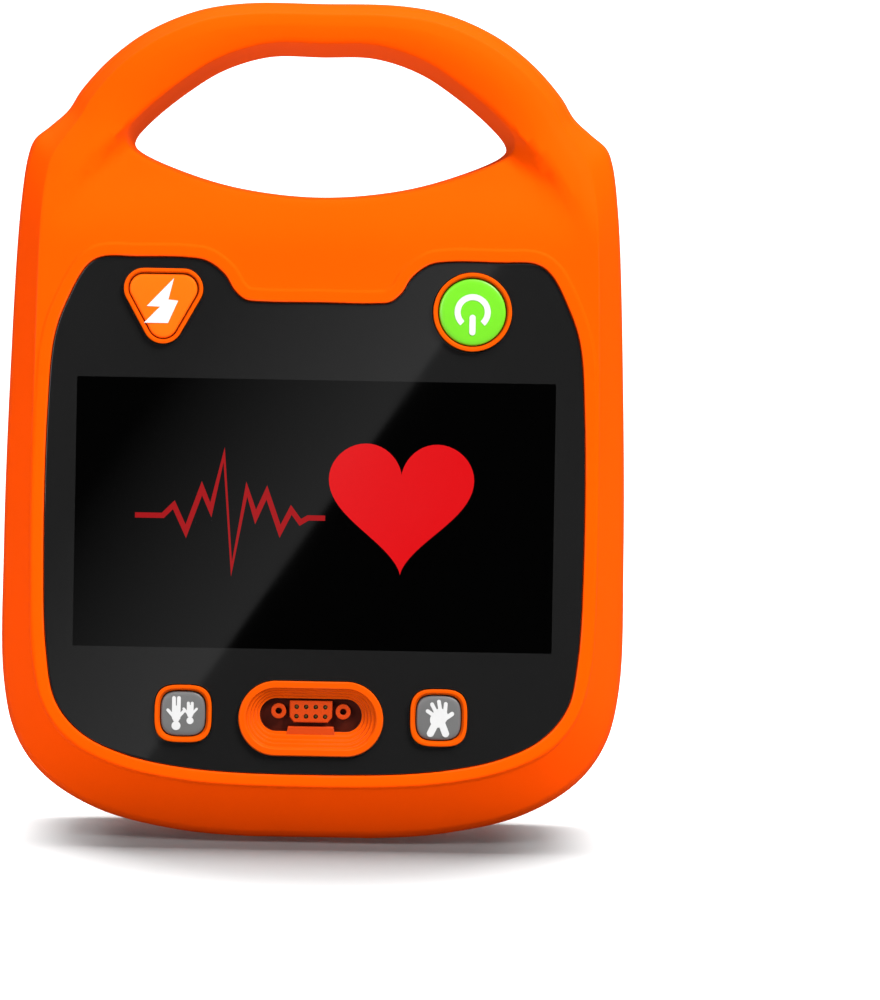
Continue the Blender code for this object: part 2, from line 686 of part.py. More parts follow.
def capacitor_strap(x, y, z):
    """A steel band round the back of the capacitor, with its two legs to the board."""
    inner, outer = CAPACITOR_RADIUS + 0.4, CAPACITOR_RADIUS + 1.4
    angles = [math.pi / 2 - k * math.pi / 12 for k in range(13)]
    legs_end = POWER_BOARD_FRONT + BOARD_THICK + GAP

    def line(reach):
        arc = [(y + reach * math.cos(a), z + reach * math.sin(a)) for a in angles]
        return [(legs_end, z + reach), *arc, (legs_end, z - reach)]

    profile = line(outer) + line(inner)[::-1]
    rings = [[(x + dx, py, pz) for py, pz in profile] for dx in (-6, 6)]
    solid("capacitor_strap", "steel", add_loft, rings)


def power_parts():
    start = POWER_BOARD_FRONT + BOARD_THICK + GAP
    core = ((17, 43), (start + 4, start + 22), (114, 142))
    transformer = solid("charging_transformer", "ferrite", add_box, *core)
    join(transformer, "winding", add_box, (20, 40), (start, start + 26), (119, 137))
    relay = ((47, 62), (start, start + 20), (114, 142))
    solid("discharge_relay", "dark_plastic", add_box, *relay)
    front = ((-14, 14), (-5.5, 1.0), (58, 70))
    terminals = solid("battery_terminals", "gold", add_box, *front)
    blades = [((x - 0.5, x + 0.5), (0, 9), (61, 67)) for x in (-9, -3, 3, 9)]
    join(terminals, "terminal_blades", add_boxes, blades)


def speaker():
    back = REAR_INSIDE - GAP
    profile = [
        (0, back - 17), (11, back - 17), (11, back - 9), (9, back - 9), (18, back - 3),
        (20, back - 3), (20, back), (17, back), (6, back - 4), (0, back - 3),
    ]
    turned("speaker", "dark_plastic", profile, SPEAKER_MIDDLE)


# Battery


def battery():
    x, (low, high) = BATTERY_X, BATTERY_Z
    pack = solid("battery_pack", "case_orange", add_box, (-x, x), (BATTERY_FRONT, BATTERY_BACK), (low, high))
    cut(pack, "terminal_recess", add_box, (-13.2, 13.2), (0, 10.5), (59.3, 68.7))
    side = LATCH_X + GAP
    well = ((-side, side), (LATCH_Y[0] - GAP, 50), (LATCH_FLOOR, 110))
    cut(pack, "latch_well", add_box, *well)
    cut(pack, "finger_scoop", add_box, (-20, 20), (BATTERY_BACK - 6, 50), (0, 34))
    middle = sum(LATCH_Y) / 2
    latch = solid(
        "battery_latch",
        "dark_plastic",
        add_box,
        (-LATCH_X, LATCH_X),
        LATCH_Y,
        LATCH_Z,
        origin=(0, middle, LATCH_Z[1]),
    )
    bore = [(3.4 * math.cos(k * math.pi / 6), 3.4 * math.sin(k * math.pi / 6)) for k in range(12)]
    column = [[(px, middle + py, z) for px, py in bore] for z in (70, SPRING_Z[1] + 0.8)]
    cut(latch, "spring_bore", add_loft, column)
    latch_spring(middle)


def latch_spring(middle):
    curve = bpy.data.curves.new("latch_spring", "CURVE")
    curve.dimensions = "3D"
    curve.bevel_depth = SPRING_WIRE * MM
    curve.bevel_resolution = 1
    curve.use_fill_caps = True
    spline = curve.splines.new("POLY")
    steps = 8 * SPRING_TURNS
    spline.points.add(steps)
    low, high = SPRING_Z
    for k, point in enumerate(spline.points):
        angle = 2 * math.pi * SPRING_TURNS * k / steps
        x = SPRING_RADIUS * math.cos(angle)
        y = middle + SPRING_RADIUS * math.sin(angle)
        point.co = (x * MM, y * MM, (low + (high - low) * k / steps) * MM, 1)
    made = bpy.data.objects.new("latch_spring", curve)
    PARTS.objects.link(made)
    curve.materials.append(MATERIALS["steel"])


front_case()
rear_case()
case_seal()
case_fixings()
window_panel()
display()
buttons()
connector_bezel()
connector_socket()
boards()
capacitor()
power_parts()
speaker()
battery()
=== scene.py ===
"""Looks of the portable defibrillator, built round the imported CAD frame.

Lengths are millimetres and become metres where a mesh is made. X is to the right, Y is towards
the back and Z is up, as in the frame. Outlines are (x, z) rows and run clockwise seen from the front.
"""

import json
import math

import bmesh
import bpy
import numpy as np
from mathutils import Euler, Matrix, Vector
from mathutils.geometry import delaunay_2d_cdt

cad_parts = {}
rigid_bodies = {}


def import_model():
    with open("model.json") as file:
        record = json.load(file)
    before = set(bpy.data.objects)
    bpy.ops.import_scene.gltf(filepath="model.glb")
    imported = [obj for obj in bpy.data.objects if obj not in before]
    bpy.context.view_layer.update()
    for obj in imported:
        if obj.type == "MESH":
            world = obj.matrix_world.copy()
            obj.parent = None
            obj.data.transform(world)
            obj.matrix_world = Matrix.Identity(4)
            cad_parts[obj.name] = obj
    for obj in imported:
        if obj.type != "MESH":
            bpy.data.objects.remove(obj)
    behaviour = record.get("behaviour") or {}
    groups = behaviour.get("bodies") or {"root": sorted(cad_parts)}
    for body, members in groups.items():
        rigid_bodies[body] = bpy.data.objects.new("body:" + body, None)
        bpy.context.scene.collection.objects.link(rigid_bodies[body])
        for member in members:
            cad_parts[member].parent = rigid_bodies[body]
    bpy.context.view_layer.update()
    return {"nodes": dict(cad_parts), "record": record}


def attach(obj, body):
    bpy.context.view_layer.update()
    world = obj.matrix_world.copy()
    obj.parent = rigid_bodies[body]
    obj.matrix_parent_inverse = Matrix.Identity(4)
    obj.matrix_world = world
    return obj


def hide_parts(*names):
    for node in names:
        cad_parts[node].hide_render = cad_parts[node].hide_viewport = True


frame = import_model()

MM = 0.001
GAP = 0.3
CASE_WALL = 2.6

# Depths, from the front to the back
BEZEL_FRONT = -40.0
RIM_FRONT = -39.35
FACE_FRONT = -38.8
PANEL_FRONT = -38.4
PANEL_BACK = -36.4
PANEL_EDGE = 0.25
RECESS_FLOOR = -35.6
PARTING = -8.0
REAR_START = -7.7
REAR_FACE = 36.5
FOOT_FACE = 40.0
BATTERY_BACK = 38.5

# Half outlines, from the middle of the top to the middle of the bottom, as (x, z)
SILHOUETTE = (
    (0, 277.7), (25.5, 277.5), (41.2, 274.9), (57.7, 267.9), (70.2, 258.6), (79.9, 247.8),
    (84.3, 240.8), (90.3, 235.3), (95.2, 231.1), (97.3, 225.9), (99.7, 207.2), (102.3, 147.6),
    (103.3, 94.4), (102.6, 51.2), (98.1, 32.3), (88.5, 19.1), (70.3, 8.2), (44.2, 1.9),
    (20, 0), (0, 0),
)
CREST = (
    (0, 271.5), (24.5, 271.2), (39, 268.8), (54.5, 262), (66, 253.5), (75, 243),
    (79, 236), (84, 229), (87.5, 223), (88.8, 217), (90.3, 200), (91.5, 147),
    (91.7, 94.4), (90.3, 60), (86.3, 44.8), (78, 33.8), (63, 26.3), (40.3, 21.7),
    (20, 20.5), (0, 20.3),
)
HAND_OPENING = (
    (0, 259.8), (17.5, 259.6), (32.5, 254.9), (44.4, 247.4), (56.3, 237.5), (61.2, 231.8),
    (61.7, 229.5), (59.7, 227.3), (46.5, 221.4), (26.6, 215.8), (0, 213.2),
)
PANEL = (
    (0, 176.8), (18.3, 176.8), (23.6, 177.4), (27.3, 180.5), (30.3, 185.3), (36, 189.6),
    (42.5, 190.7), (58.6, 190.7), (70.2, 190.4), (74.9, 187.4), (80.7, 176.9), (84.8, 164.9),
    (86.7, 140.9), (87.2, 95.1), (85.9, 63), (82.7, 47), (74.9, 37.2), (61.5, 30.4),
    (39.1, 25.8), (0, 24.3),
)
# How much wider the hand opening is at each depth, as (y, widening)
FRONT_FLARE = ((-45, 3.2), (-30, 2.2), (PARTING, 0))
REAR_FLARE = ((PARTING, 0), (12, 3.5), (60, 9))

# The step between the handle's arm and the dished face below the opening: its two edges
ARM_EDGE = ((50, 236), (58, 238), (64.5, 233), (72, 225.6), (79.5, 216.5), (85, 207), (88.6, 194))
DISH_EDGE = ((50, 229.5), (60, 227), (64.5, 219.5), (71, 210.5), (77.5, 202), (83, 195), (88, 187))
FACE_TOP = 196.0  # where the face starts to lean back
HANDLE_BACK_OFF = 8.0  # how far behind the rim the handle's face is
DISH_SLOPE = 0.6
DISH_BEND = 22.0
RIM_WIDTH = 3.7
RIM_STEP = 1.0
OPENING_EDGE = 2.2
CROWN = 1.9  # how far the handle's face rounds off at its edges
CROWN_REACH = 9.0
BODY_MIDDLE = (0, 139)

# The back: flat up to BACK_TOP, then leaning forward to the back of the handle
BACK_TOP = 204
BACK_BEND = 6
BACK_SLOPE = 0.734
BACK_BLEND = 4
HANDLE_REAR = 13
HANDLE_TAPER = 3 / 52

# The front's side
LIP = 0.55  # how far the rim stands out over the front chamfer
SIDE_DRAFT = 0.0165  # how much smaller the outline is where the front chamfer starts

# Screen
SCREEN_MIDDLE = (0.0, 108.3)
SCREEN_SIZE = (155.0, 87.2)

# Buttons
DROP_SHAPE = ((-6.3, 5.65), (0, -5.65), (6.3, 5.65))
DROP_MIDDLE = (-50, 175)
POWER_MIDDLE = (50, 174.7)
PATIENT_MIDDLE = (-41.3, 43.4)
CPR_MIDDLE = (41.3, 43.4)
KEY_HALF = 3.25
KEY_POWER = 3.3  # exponent of the keys' rounded square
CAP_FRONT = -39.7

# Socket for the electrode pads
SOCKET_MIDDLE = (0, 42.4)
PILL_HALF = 11.35
PILL_RADIUS = 12.05
PIN_PITCH = 3.1
PIN_RISE = 2.1
GUIDE_X = 10.45
SOCKET_FLOOR = -33.4
BLOCK_FRONT = -37.0
HOLE_FLOOR = -34.5
BLOCK = ((-6.9, 5.55), (6.9, 5.55), (6.9, 0.3), (5.5, -1.45), (-5.5, -1.45), (-6.9, 0.3))

# Back
CASE_SCREWS = ((-88, 120), (88, 120), (-78, 202), (78, 202), (-66, 20), (66, 20))
FEET = ((-80, 46), (80, 46), (-77, 182), (77, 182))
FOOT_RADIUS = 6.0
SPEAKER_MIDDLE = (39, 172)
SLOT_PITCH = 5
SLOT_LENGTH = 26
SLOT_HALF = 1.1
BATTERY_X = 54.0
BATTERY_Z = (20.0, 96.0)
BATTERY_FRONT = 4.3
LATCH_X = 12.6
LATCH_FLOOR = 76.0
WELL_FLOOR = 28.1
LATCH_BACK = 38.2
LATCH_Z = (79.4, 95.7)
RIDGE_PITCH = 2.06
RIDGE = 0.7
SCOOP_DEPTH = 5.6
GRIP_HALF = 30
GRIP_Z = (44, 64)
GRIP_PITCH = 4
SPRING_Y = 33.3
POCKET_HALF = 3.2
POCKET_DEPTH = 2.8


# Outlines


def smooth_outline(half, steps=8):
    """A closed centripetal Catmull-Rom curve through the knots of a half outline and their mirror image."""
    right = np.array(half, float)
    left = right[-2:0:-1] * (-1, 1)
    knots = np.vstack([right, left])
    count = len(knots)
    points = []
    for i in range(count):
        p0, p1, p2, p3 = (knots[(i + k) % count] for k in (-1, 0, 1, 2))
        t1 = math.sqrt(np.linalg.norm(p1 - p0))
        t2 = t1 + math.sqrt(np.linalg.norm(p2 - p1))
        t3 = t2 + math.sqrt(np.linalg.norm(p3 - p2))
        for k in range(steps):
            t = t1 + (t2 - t1) * k / steps
            a1 = p0 + (p1 - p0) * t / t1
            a2 = p1 + (p2 - p1) * (t - t1) / (t2 - t1)
            a3 = p2 + (p3 - p2) * (t - t2) / (t3 - t2)
            b1 = a1 + (a2 - a1) * t / t2
            b2 = a2 + (a3 - a2) * (t - t1) / (t3 - t1)
            points.append(b1 + (b2 - b1) * (t - t1) / (t2 - t1))
    return np.maximum(points, (-math.inf, 0))


def offset(points, distance):
    """A clockwise outline moved outwards by distance, which may differ from point to point."""
    along = np.roll(points, -1, axis=0) - np.roll(points, 1, axis=0)
    along /= np.linalg.norm(along, axis=1)[:, None]
    distance = np.asarray(distance, float).reshape(-1, 1)
    return points + distance * np.column_stack([-along[:, 1], along[:, 0]])


def rounded_outline(middle, corners, radius, sides=64):
    """A clockwise outline with an arc of this radius round each corner's middle, evenly stepped."""
    corners = np.array(corners, float)
    count = len(corners)
    points = []
    for i, corner in enumerate(corners):
        if count == 1:
            first, turn = 0.0, 2 * math.pi
        else:
            come = corner - corners[i - 1]
            leave = corners[(i + 1) % count] - corner
            first = math.atan2(come[1], come[0]) - math.pi / 2
            turn = (math.atan2(leave[1], leave[0]) - math.atan2(come[1], come[0])) % (2 * math.pi)
        steps = max(2, round(sides * turn / (2 * math.pi)))
        last = steps if count == 1 else steps + 1
        for k in range(last):
            angle = first + turn * k / steps
            points.append(corner + radius * np.array([math.cos(angle), math.sin(angle)]))
    return (np.array(points) + middle)[::-1]


def box_outline(low, high, radius, sides=40):
    """A rounded rectangle between two corners."""
    (x0, z0), (x1, z1) = low, high
    corners = (
        (x0 + radius, z1 - radius),
        (x0 + radius, z0 + radius),
        (x1 - radius, z0 + radius),
        (x1 - radius, z1 - radius),
    )
    return rounded_outline((0, 0), corners, radius, sides)


def refined(points, longest):
    """The same closed outline with its long sides split."""
    made = []
    for first, second in zip(points, np.roll(points, -1, axis=0)):
        parts = max(1, math.ceil(np.linalg.norm(second - first) / longest))
        made += [first + (second - first) * k / parts for k in range(parts)]
    return np.array(made)


def refined_line(line, longest, side):
    """Points along an open line, on the right for side 1 or mirrored to the left for side -1."""
    rows = []
    for first, second in zip(np.array(line, float), np.array(line[1:], float)):
        parts = max(1, math.ceil(np.linalg.norm(second - first) / longest))
        rows += [first + (second - first) * k / parts for k in range(parts)]
    return np.array(rows) * (side, 1)


def circle(middle, radius, sides=64):
    return rounded_outline(middle, ((0, 0),), radius, sides)


def drop(radius):
    return refined(rounded_outline(DROP_MIDDLE, DROP_SHAPE, radius, 96), 1.0)


def key_outline(middle, radius):
    """A square key's outline, with rounded corners and slightly bulged sides."""
    half = KEY_HALF + radius
    points = []
    for k in range(96):
        angle = -2 * math.pi * k / 96
        cos, sin = math.cos(angle), math.sin(angle)
        reach = half / (abs(cos) ** KEY_POWER + abs(sin) ** KEY_POWER) ** (1 / KEY_POWER)
        points.append((middle[0] + reach * cos, middle[1] + reach * sin))
    return np.array(points)


def pill(radius, rise=0.0, half=PILL_HALF):
    middle = (SOCKET_MIDDLE[0], SOCKET_MIDDLE[1] + rise)
    return rounded_outline(middle, ((-half, 0), (half, 0)), radius, 72)


def inside(points, outline):
    """Which points are inside a closed outline."""
    x, z = points[:, 0][:, None], points[:, 1][:, None]
    x0, z0 = outline[:, 0], outline[:, 1]
    x1, z1 = np.roll(x0, -1), np.roll(z0, -1)
    crosses = (z0 > z) != (z1 > z)
    rise = np.where(z1 == z0, 1e-12, z1 - z0)
    return (crosses & (x < x0 + (z - z0) * (x1 - x0) / rise)).sum(axis=1) % 2 == 1


def distance_to(points, line, closed=True):
    """The distance from each point to a line of stretches."""
    line = np.array(line, float)
    start = line if closed else line[:-1]
    step = (np.roll(line, -1, axis=0) if closed else line[1:]) - start
    away = points[:, None, :] - start[None, :, :]
    share = (away * step).sum(axis=2) / np.maximum((step * step).sum(axis=1), 1e-12)
    away -= np.clip(share, 0, 1)[:, :, None] * step
    return np.sqrt((away * away).sum(axis=2)).min(axis=1)


def signed_distance(points, outline):
    """The distance to a closed outline, negative inside it."""
    away = distance_to(points, outline)
    return np.where(inside(points, outline), -away, away)


def smooth(value):
    value = np.clip(value, 0, 1)
    return value * value * (3 - 2 * value)


def softened(profile, radius, closed=False, steps=4):
    """A profile of (reach, y) rows with its corners rounded."""
    rows = np.array(profile, float)
    count = len(rows)
    made = []
    for i, corner in enumerate(rows):
        if not closed and i in (0, count - 1):
            made.append(corner)
            continue
        before, after = rows[i - 1] - corner, rows[(i + 1) % count] - corner
        reach = min(radius, np.linalg.norm(before) * 0.45, np.linalg.norm(after) * 0.45)
        first = corner + before / np.linalg.norm(before) * reach
        last = corner + after / np.linalg.norm(after) * reach
        for k in range(steps + 1):
            t = k / steps
            made.append(first * (1 - t) ** 2 + corner * 2 * t * (1 - t) + last * t * t)
    return made


# Builders


def level(y):
    """The depth function of a flat face."""
    return lambda points: np.full(len(points), y)


def at_depth(outline, y):
    depth = np.broadcast_to(np.asarray(y, float), (len(outline),))
    return np.column_stack([outline[:, 0], depth, outline[:, 1]])


def add_rings(bm, rings, closed=False, mat=0):
    """Faces between rings of equal length."""
    rows = [[bm.verts.new(point) for point in ring] for ring in rings]
    pairs = list(zip(rows, rows[1:]))
    if closed:
        pairs.append((rows[-1], rows[0]))
    for low, high in pairs:
        for i in range(len(low)):
            k = (i + 1) % len(low)
            face = bm.faces.new((low[i], low[k], high[k], high[i]))
            face.material_index = mat
    return rows


def add_sweep(bm, outline_at, profile, closed=True):
    """A profile of (radius, y) rows swept round the outline that outline_at gives for a radius."""
    rings = [at_depth(outline_at(radius), y) for radius, y in profile]
    return add_rings(bm, rings, closed)


def add_dome(bm, outline, edge_y, crown):
    """A slightly crowned face over an outline."""
    middle = outline.mean(axis=0)
    shares = (1, 0.9, 0.72, 0.5, 0.25)
    rings = [at_depth(middle + (outline - middle) * s, edge_y - crown * (1 - s * s)) for s in shares]
    rows = add_rings(bm, rings)
    top = bm.verts.new((middle[0], edge_y - crown, middle[1]))
    last = rows[-1]
    for i in range(len(last)):
        bm.faces.new((last[i], last[(i + 1) % len(last)], top))


def add_region(bm, outer, holes, depth, cell=3.0, near=(0.5, 1.2, 2.2), zones=(), rings=()):
    """Triangles that fill an outline round its holes, at the depths that depth(points) gives.
    The near rows are distances from the outlines at which the points lie closer than the cell's size.
    A zone is (outline, material index): its edge is kept, and the faces inside it take its material.
    The rings are further rows of points, where the depth changes quickly."""
    curves = [outer, *holes, *[zone for zone, _ in zones]]
    fixed = np.vstack(curves)
    edges = []
    first = 0
    for curve in curves:
        count = len(curve)
        edges += [(first + i, first + (i + 1) % count) for i in range(count)]
        first += count
    low, high = outer.min(axis=0), outer.max(axis=0)
    rows = int((high[1] - low[1]) / (cell * 0.866)) + 1
    columns = int((high[0] - low[0]) / cell) + 2
    grid = [
        (low[0] + (i + 0.5 * (k % 2)) * cell, low[1] + k * cell * 0.866)
        for k in range(rows)
        for i in range(columns)
    ]
    layers = []
    for reach in near:
        lines = [offset(outer, -reach)] + [offset(hole, reach) for hole in holes]
        layers.append((np.vstack(lines), reach * 0.9, reach * 0.35 + 0.15))
    layers += [(ring, 0.4, 0.3) for ring in rings]
    layers.append((np.array(grid), near[-1] + cell * 0.35, cell * 0.62))
    kept = fixed
    for points, clear, apart in layers:
        points = points[inside(points, outer)]
        for hole in holes:
            points = points[~inside(points, hole)]
        points = points[distance_to_many(points, curves[: 1 + len(holes)]) > clear]
        kept = np.vstack([kept, thinned(points, kept, apart)])
    made, _, faces, _, _, _ = delaunay_2d_cdt([Vector(p) for p in kept], edges, [], 0, 1e-6)
    flat = np.array([(v.x, v.y) for v in made])
    middles = np.array([flat[list(face)].mean(axis=0) for face in faces])
    wanted = inside(middles, outer)
    for hole in holes:
        wanted &= ~inside(middles, hole)
    index = np.zeros(len(faces), int)
    for zone, number in zones:
        index[inside(middles, zone)] = number
    y = depth(flat)
    verts = [bm.verts.new((x, d, z)) for (x, z), d in zip(flat, y)]
    for face, want, number in zip(faces, wanted, index):
        if want:
            bm.faces.new([verts[i] for i in face]).material_index = int(number)
    for vert in verts:
        if not vert.link_faces:
            bm.verts.remove(vert)


def distance_to_many(points, curves):
    if not len(points):
        return np.zeros(0)
    return np.min([distance_to(points, curve) for curve in curves], axis=0)


def thinned(points, others, apart):
    """The points that keep this far from the others and from each other."""
    if not len(points):
        return points.reshape(0, 2)
    cells = {}
    for x, z in others:
        cells.setdefault((int(x // apart), int(z // apart)), []).append((x, z))
    kept = []
    for x, z in points:
        i, k = int(x // apart), int(z // apart)
        near = [p for a in (i - 1, i, i + 1) for b in (k - 1, k, k + 1) for p in cells.get((a, b), ())]
        if all((x - px) ** 2 + (z - pz) ** 2 >= apart * apart for px, pz in near):
            kept.append((x, z))
            cells.setdefault((i, k), []).append((x, z))
    return np.array(kept).reshape(-1, 2)


def add_plate(bm, outline, front, back, edge=0.0):
    """A flat plate with an optional softened front edge."""
    rings = [at_depth(outline, back), at_depth(outline, front + edge)]
    if edge:
        rings.append(at_depth(offset(outline, -edge), front))
    rows = add_rings(bm, rings)
    bm.faces.new(rows[0])
    bm.faces.new(rows[-1])


def finished(name, bm, looks, body, replaces=(), weld=0.002, flat_angle=None):
    """An object made from bm that rides on a body. Edges sharper than flat_angle stay hard."""
    bmesh.ops.remove_doubles(bm, verts=bm.verts, dist=weld)
    bmesh.ops.recalc_face_normals(bm, faces=bm.faces)
    bmesh.ops.scale(bm, verts=bm.verts, vec=(MM, MM, MM))
    mesh = bpy.data.meshes.new(name)
    bm.to_mesh(mesh)
    bm.free()
    for look in looks:
        mesh.materials.append(MATERIALS[look])
    mesh.shade_smooth()
    if flat_angle:
        mesh.set_sharp_from_angle(angle=math.radians(flat_angle))
    piece = bpy.data.objects.new(name, mesh)
    bpy.context.scene.collection.objects.link(piece)
    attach(piece, body)
    if replaces:
        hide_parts(*replaces)


# Materials


class Nodes:
    """Short calls for adding nodes to one material."""

    def __init__(self, name):
        self.material = bpy.data.materials.new(name)
        self.material.use_nodes = True
        self.tree = self.material.node_tree
        self.shader = self.tree.nodes["Principled BSDF"]
        self.place = self.tree.nodes.new("ShaderNodeTexCoord").outputs["Object"]

    def link(self, source, target):
        self.tree.links.new(source, target)

    def noise(self, scale, detail=3.0, rough=0.55):
        node = self.tree.nodes.new("ShaderNodeTexNoise")
        node.inputs["Scale"].default_value = scale
        node.inputs["Detail"].default_value = detail
        node.inputs["Roughness"].default_value = rough
        self.link(self.place, node.inputs["Vector"])
        return node.outputs["Fac"]

    def cells(self, scale):
        node = self.tree.nodes.new("ShaderNodeTexVoronoi")
        node.inputs["Scale"].default_value = scale
        self.link(self.place, node.inputs["Vector"])
        return node.outputs["Distance"]

    def spread(self, value, low, high, to_low, to_high):
        node = self.tree.nodes.new("ShaderNodeMapRange")
        names = ("From Min", "From Max", "To Min", "To Max")
        for socket, number in zip(names, (low, high, to_low, to_high)):
            node.inputs[socket].default_value = number
        self.link(value, node.inputs["Value"])
        return node.outputs["Result"]

    def math(self, kind, first, second):
        node = self.tree.nodes.new("ShaderNodeMath")
        node.operation = kind
        node.use_clamp = True
        for socket, value in zip(node.inputs, (first, second)):
            if isinstance(value, (int, float)):
                socket.default_value = value
            else:
                self.link(value, socket)
        return node.outputs[0]

    def mix(self, share, first, second):
        node = self.tree.nodes.new("ShaderNodeMix")
        node.data_type = "RGBA"
        for number, value in ((0, share), (6, first), (7, second)):
            socket = node.inputs[number]
            if isinstance(value, tuple):
                socket.default_value = (*value, 1)
            else:
                self.link(value, socket)
        return node.outputs[2]

    def bump(self, height, distance, strength=1.0):
        node = self.tree.nodes.new("ShaderNodeBump")
        node.inputs["Strength"].default_value = strength
        node.inputs["Distance"].default_value = distance * MM
        self.link(height, node.inputs["Height"])
        self.link(node.outputs["Normal"], self.shader.inputs["Normal"])

    def edges(self, radius):
        """1 on an edge and 0 away from it."""
        bevel = self.tree.nodes.new("ShaderNodeBevel")
        bevel.samples = 4
        bevel.inputs["Radius"].default_value = radius * MM
        geometry = self.tree.nodes.new("ShaderNodeNewGeometry")
        dot = self.tree.nodes.new("ShaderNodeVectorMath")
        dot.operation = "DOT_PRODUCT"
        self.link(bevel.outputs["Normal"], dot.inputs[0])
        self.link(geometry.outputs["Normal"], dot.inputs[1])
        return self.spread(dot.outputs["Value"], 0.99, 0.85, 0.0, 1.0)


WORN_PALER = 0.18
WORN_SMOOTHER = 0.25


def scaled(colour, factor):
    return tuple(min(1.0, part * factor) for part in colour)


def moulded(name, colour, roughness, grain, depth, vary, wear, edge, sockets=()):
    """A moulded or finished surface: fine grain, slow colour drift, uneven gloss and rubbed edges.
    grain is the texture's size in millimetres, depth its height and edge the rubbed edges' width."""
    made = Nodes(name)
    fine = made.noise(1000 / grain, 4.0, 0.6)
    slow = made.noise(18.0, 3.0, 0.5)
    low, high = scaled(colour, 1 - vary), scaled(colour, 1 + vary)
    drift = made.mix(made.spread(slow, 0.3, 0.7, 0.0, 1.0), low, high)
    speck = made.mix(made.spread(fine, 0.3, 0.7, 0.0, 0.5), drift, scaled(colour, 1 + vary / 2))
    worn = tuple(part + (1 - part) * WORN_PALER for part in colour)
    patches = made.spread(made.noise(60.0, 4.0, 0.6), 0.4, 0.75, 0.1, 1.0)
    rubbed = made.math("MULTIPLY", made.math("MULTIPLY", made.edges(edge), patches), wear)
    made.link(made.mix(rubbed, speck, worn), made.shader.inputs["Base Color"])
    gloss = made.spread(slow, 0.25, 0.75, roughness - 0.05, roughness + 0.05)
    uneven = made.math("ADD", gloss, made.spread(fine, 0.2, 0.8, -0.03, 0.04))
    polish = made.math("MULTIPLY", rubbed, WORN_SMOOTHER)
    made.link(made.math("SUBTRACT", uneven, polish), made.shader.inputs["Roughness"])
    made.bump(fine, depth)
    for socket, value in dict(sockets).items():
        made.shader.inputs[socket].default_value = value
    return made.material


def glossy(name, colour, roughness):
    """Polished plastic or glass: faint orange peel, smears that change the gloss, rubbed edges."""
    made = Nodes(name)
    smears = made.noise(9.0, 5.0, 0.6)
    dust = made.spread(made.noise(700.0, 2.0, 0.5), 0.66, 0.85, 0.0, 0.12)
    pale = tuple(part + 0.01 for part in colour)
    shade = made.mix(made.spread(smears, 0.35, 0.7, 0.0, 1.0), colour, scaled(colour, 1.12))
    dusty = made.mix(dust, shade, pale)
    rubbed = made.math("MULTIPLY", made.edges(0.4), 0.3)
    worn = tuple(part + 0.05 for part in colour)
    made.link(made.mix(rubbed, dusty, worn), made.shader.inputs["Base Color"])
    gloss = made.spread(smears, 0.3, 0.75, roughness * 0.8, roughness * 1.5 + 0.01)
    made.link(gloss, made.shader.inputs["Roughness"])
    made.bump(made.noise(30.0, 2.0, 0.4), 0.004)
    return made.material


def lit(name, colour, strength):
    """The lit parts of the screen, with the faint cell structure of its pixels."""
    made = Nodes(name)
    cells = made.spread(made.cells(1600.0), 0.0, 0.8, 1.0, 0.75)
    made.link(made.mix(cells, scaled(colour, 0.7), colour), made.shader.inputs["Emission Color"])
    made.link(made.spread(made.noise(30.0), 0.3, 0.7, 0.1, 0.16), made.shader.inputs["Roughness"])
    made.shader.inputs["Base Color"].default_value = (*scaled(colour, 0.05), 1)
    made.shader.inputs["Emission Strength"].default_value = strength
    return made.material


ORANGE = (0.87, 0.068, 0.0005)
WARM = (1.0, 0.3, 0.05, 1.0)  # keeps the shine of orange plastic orange
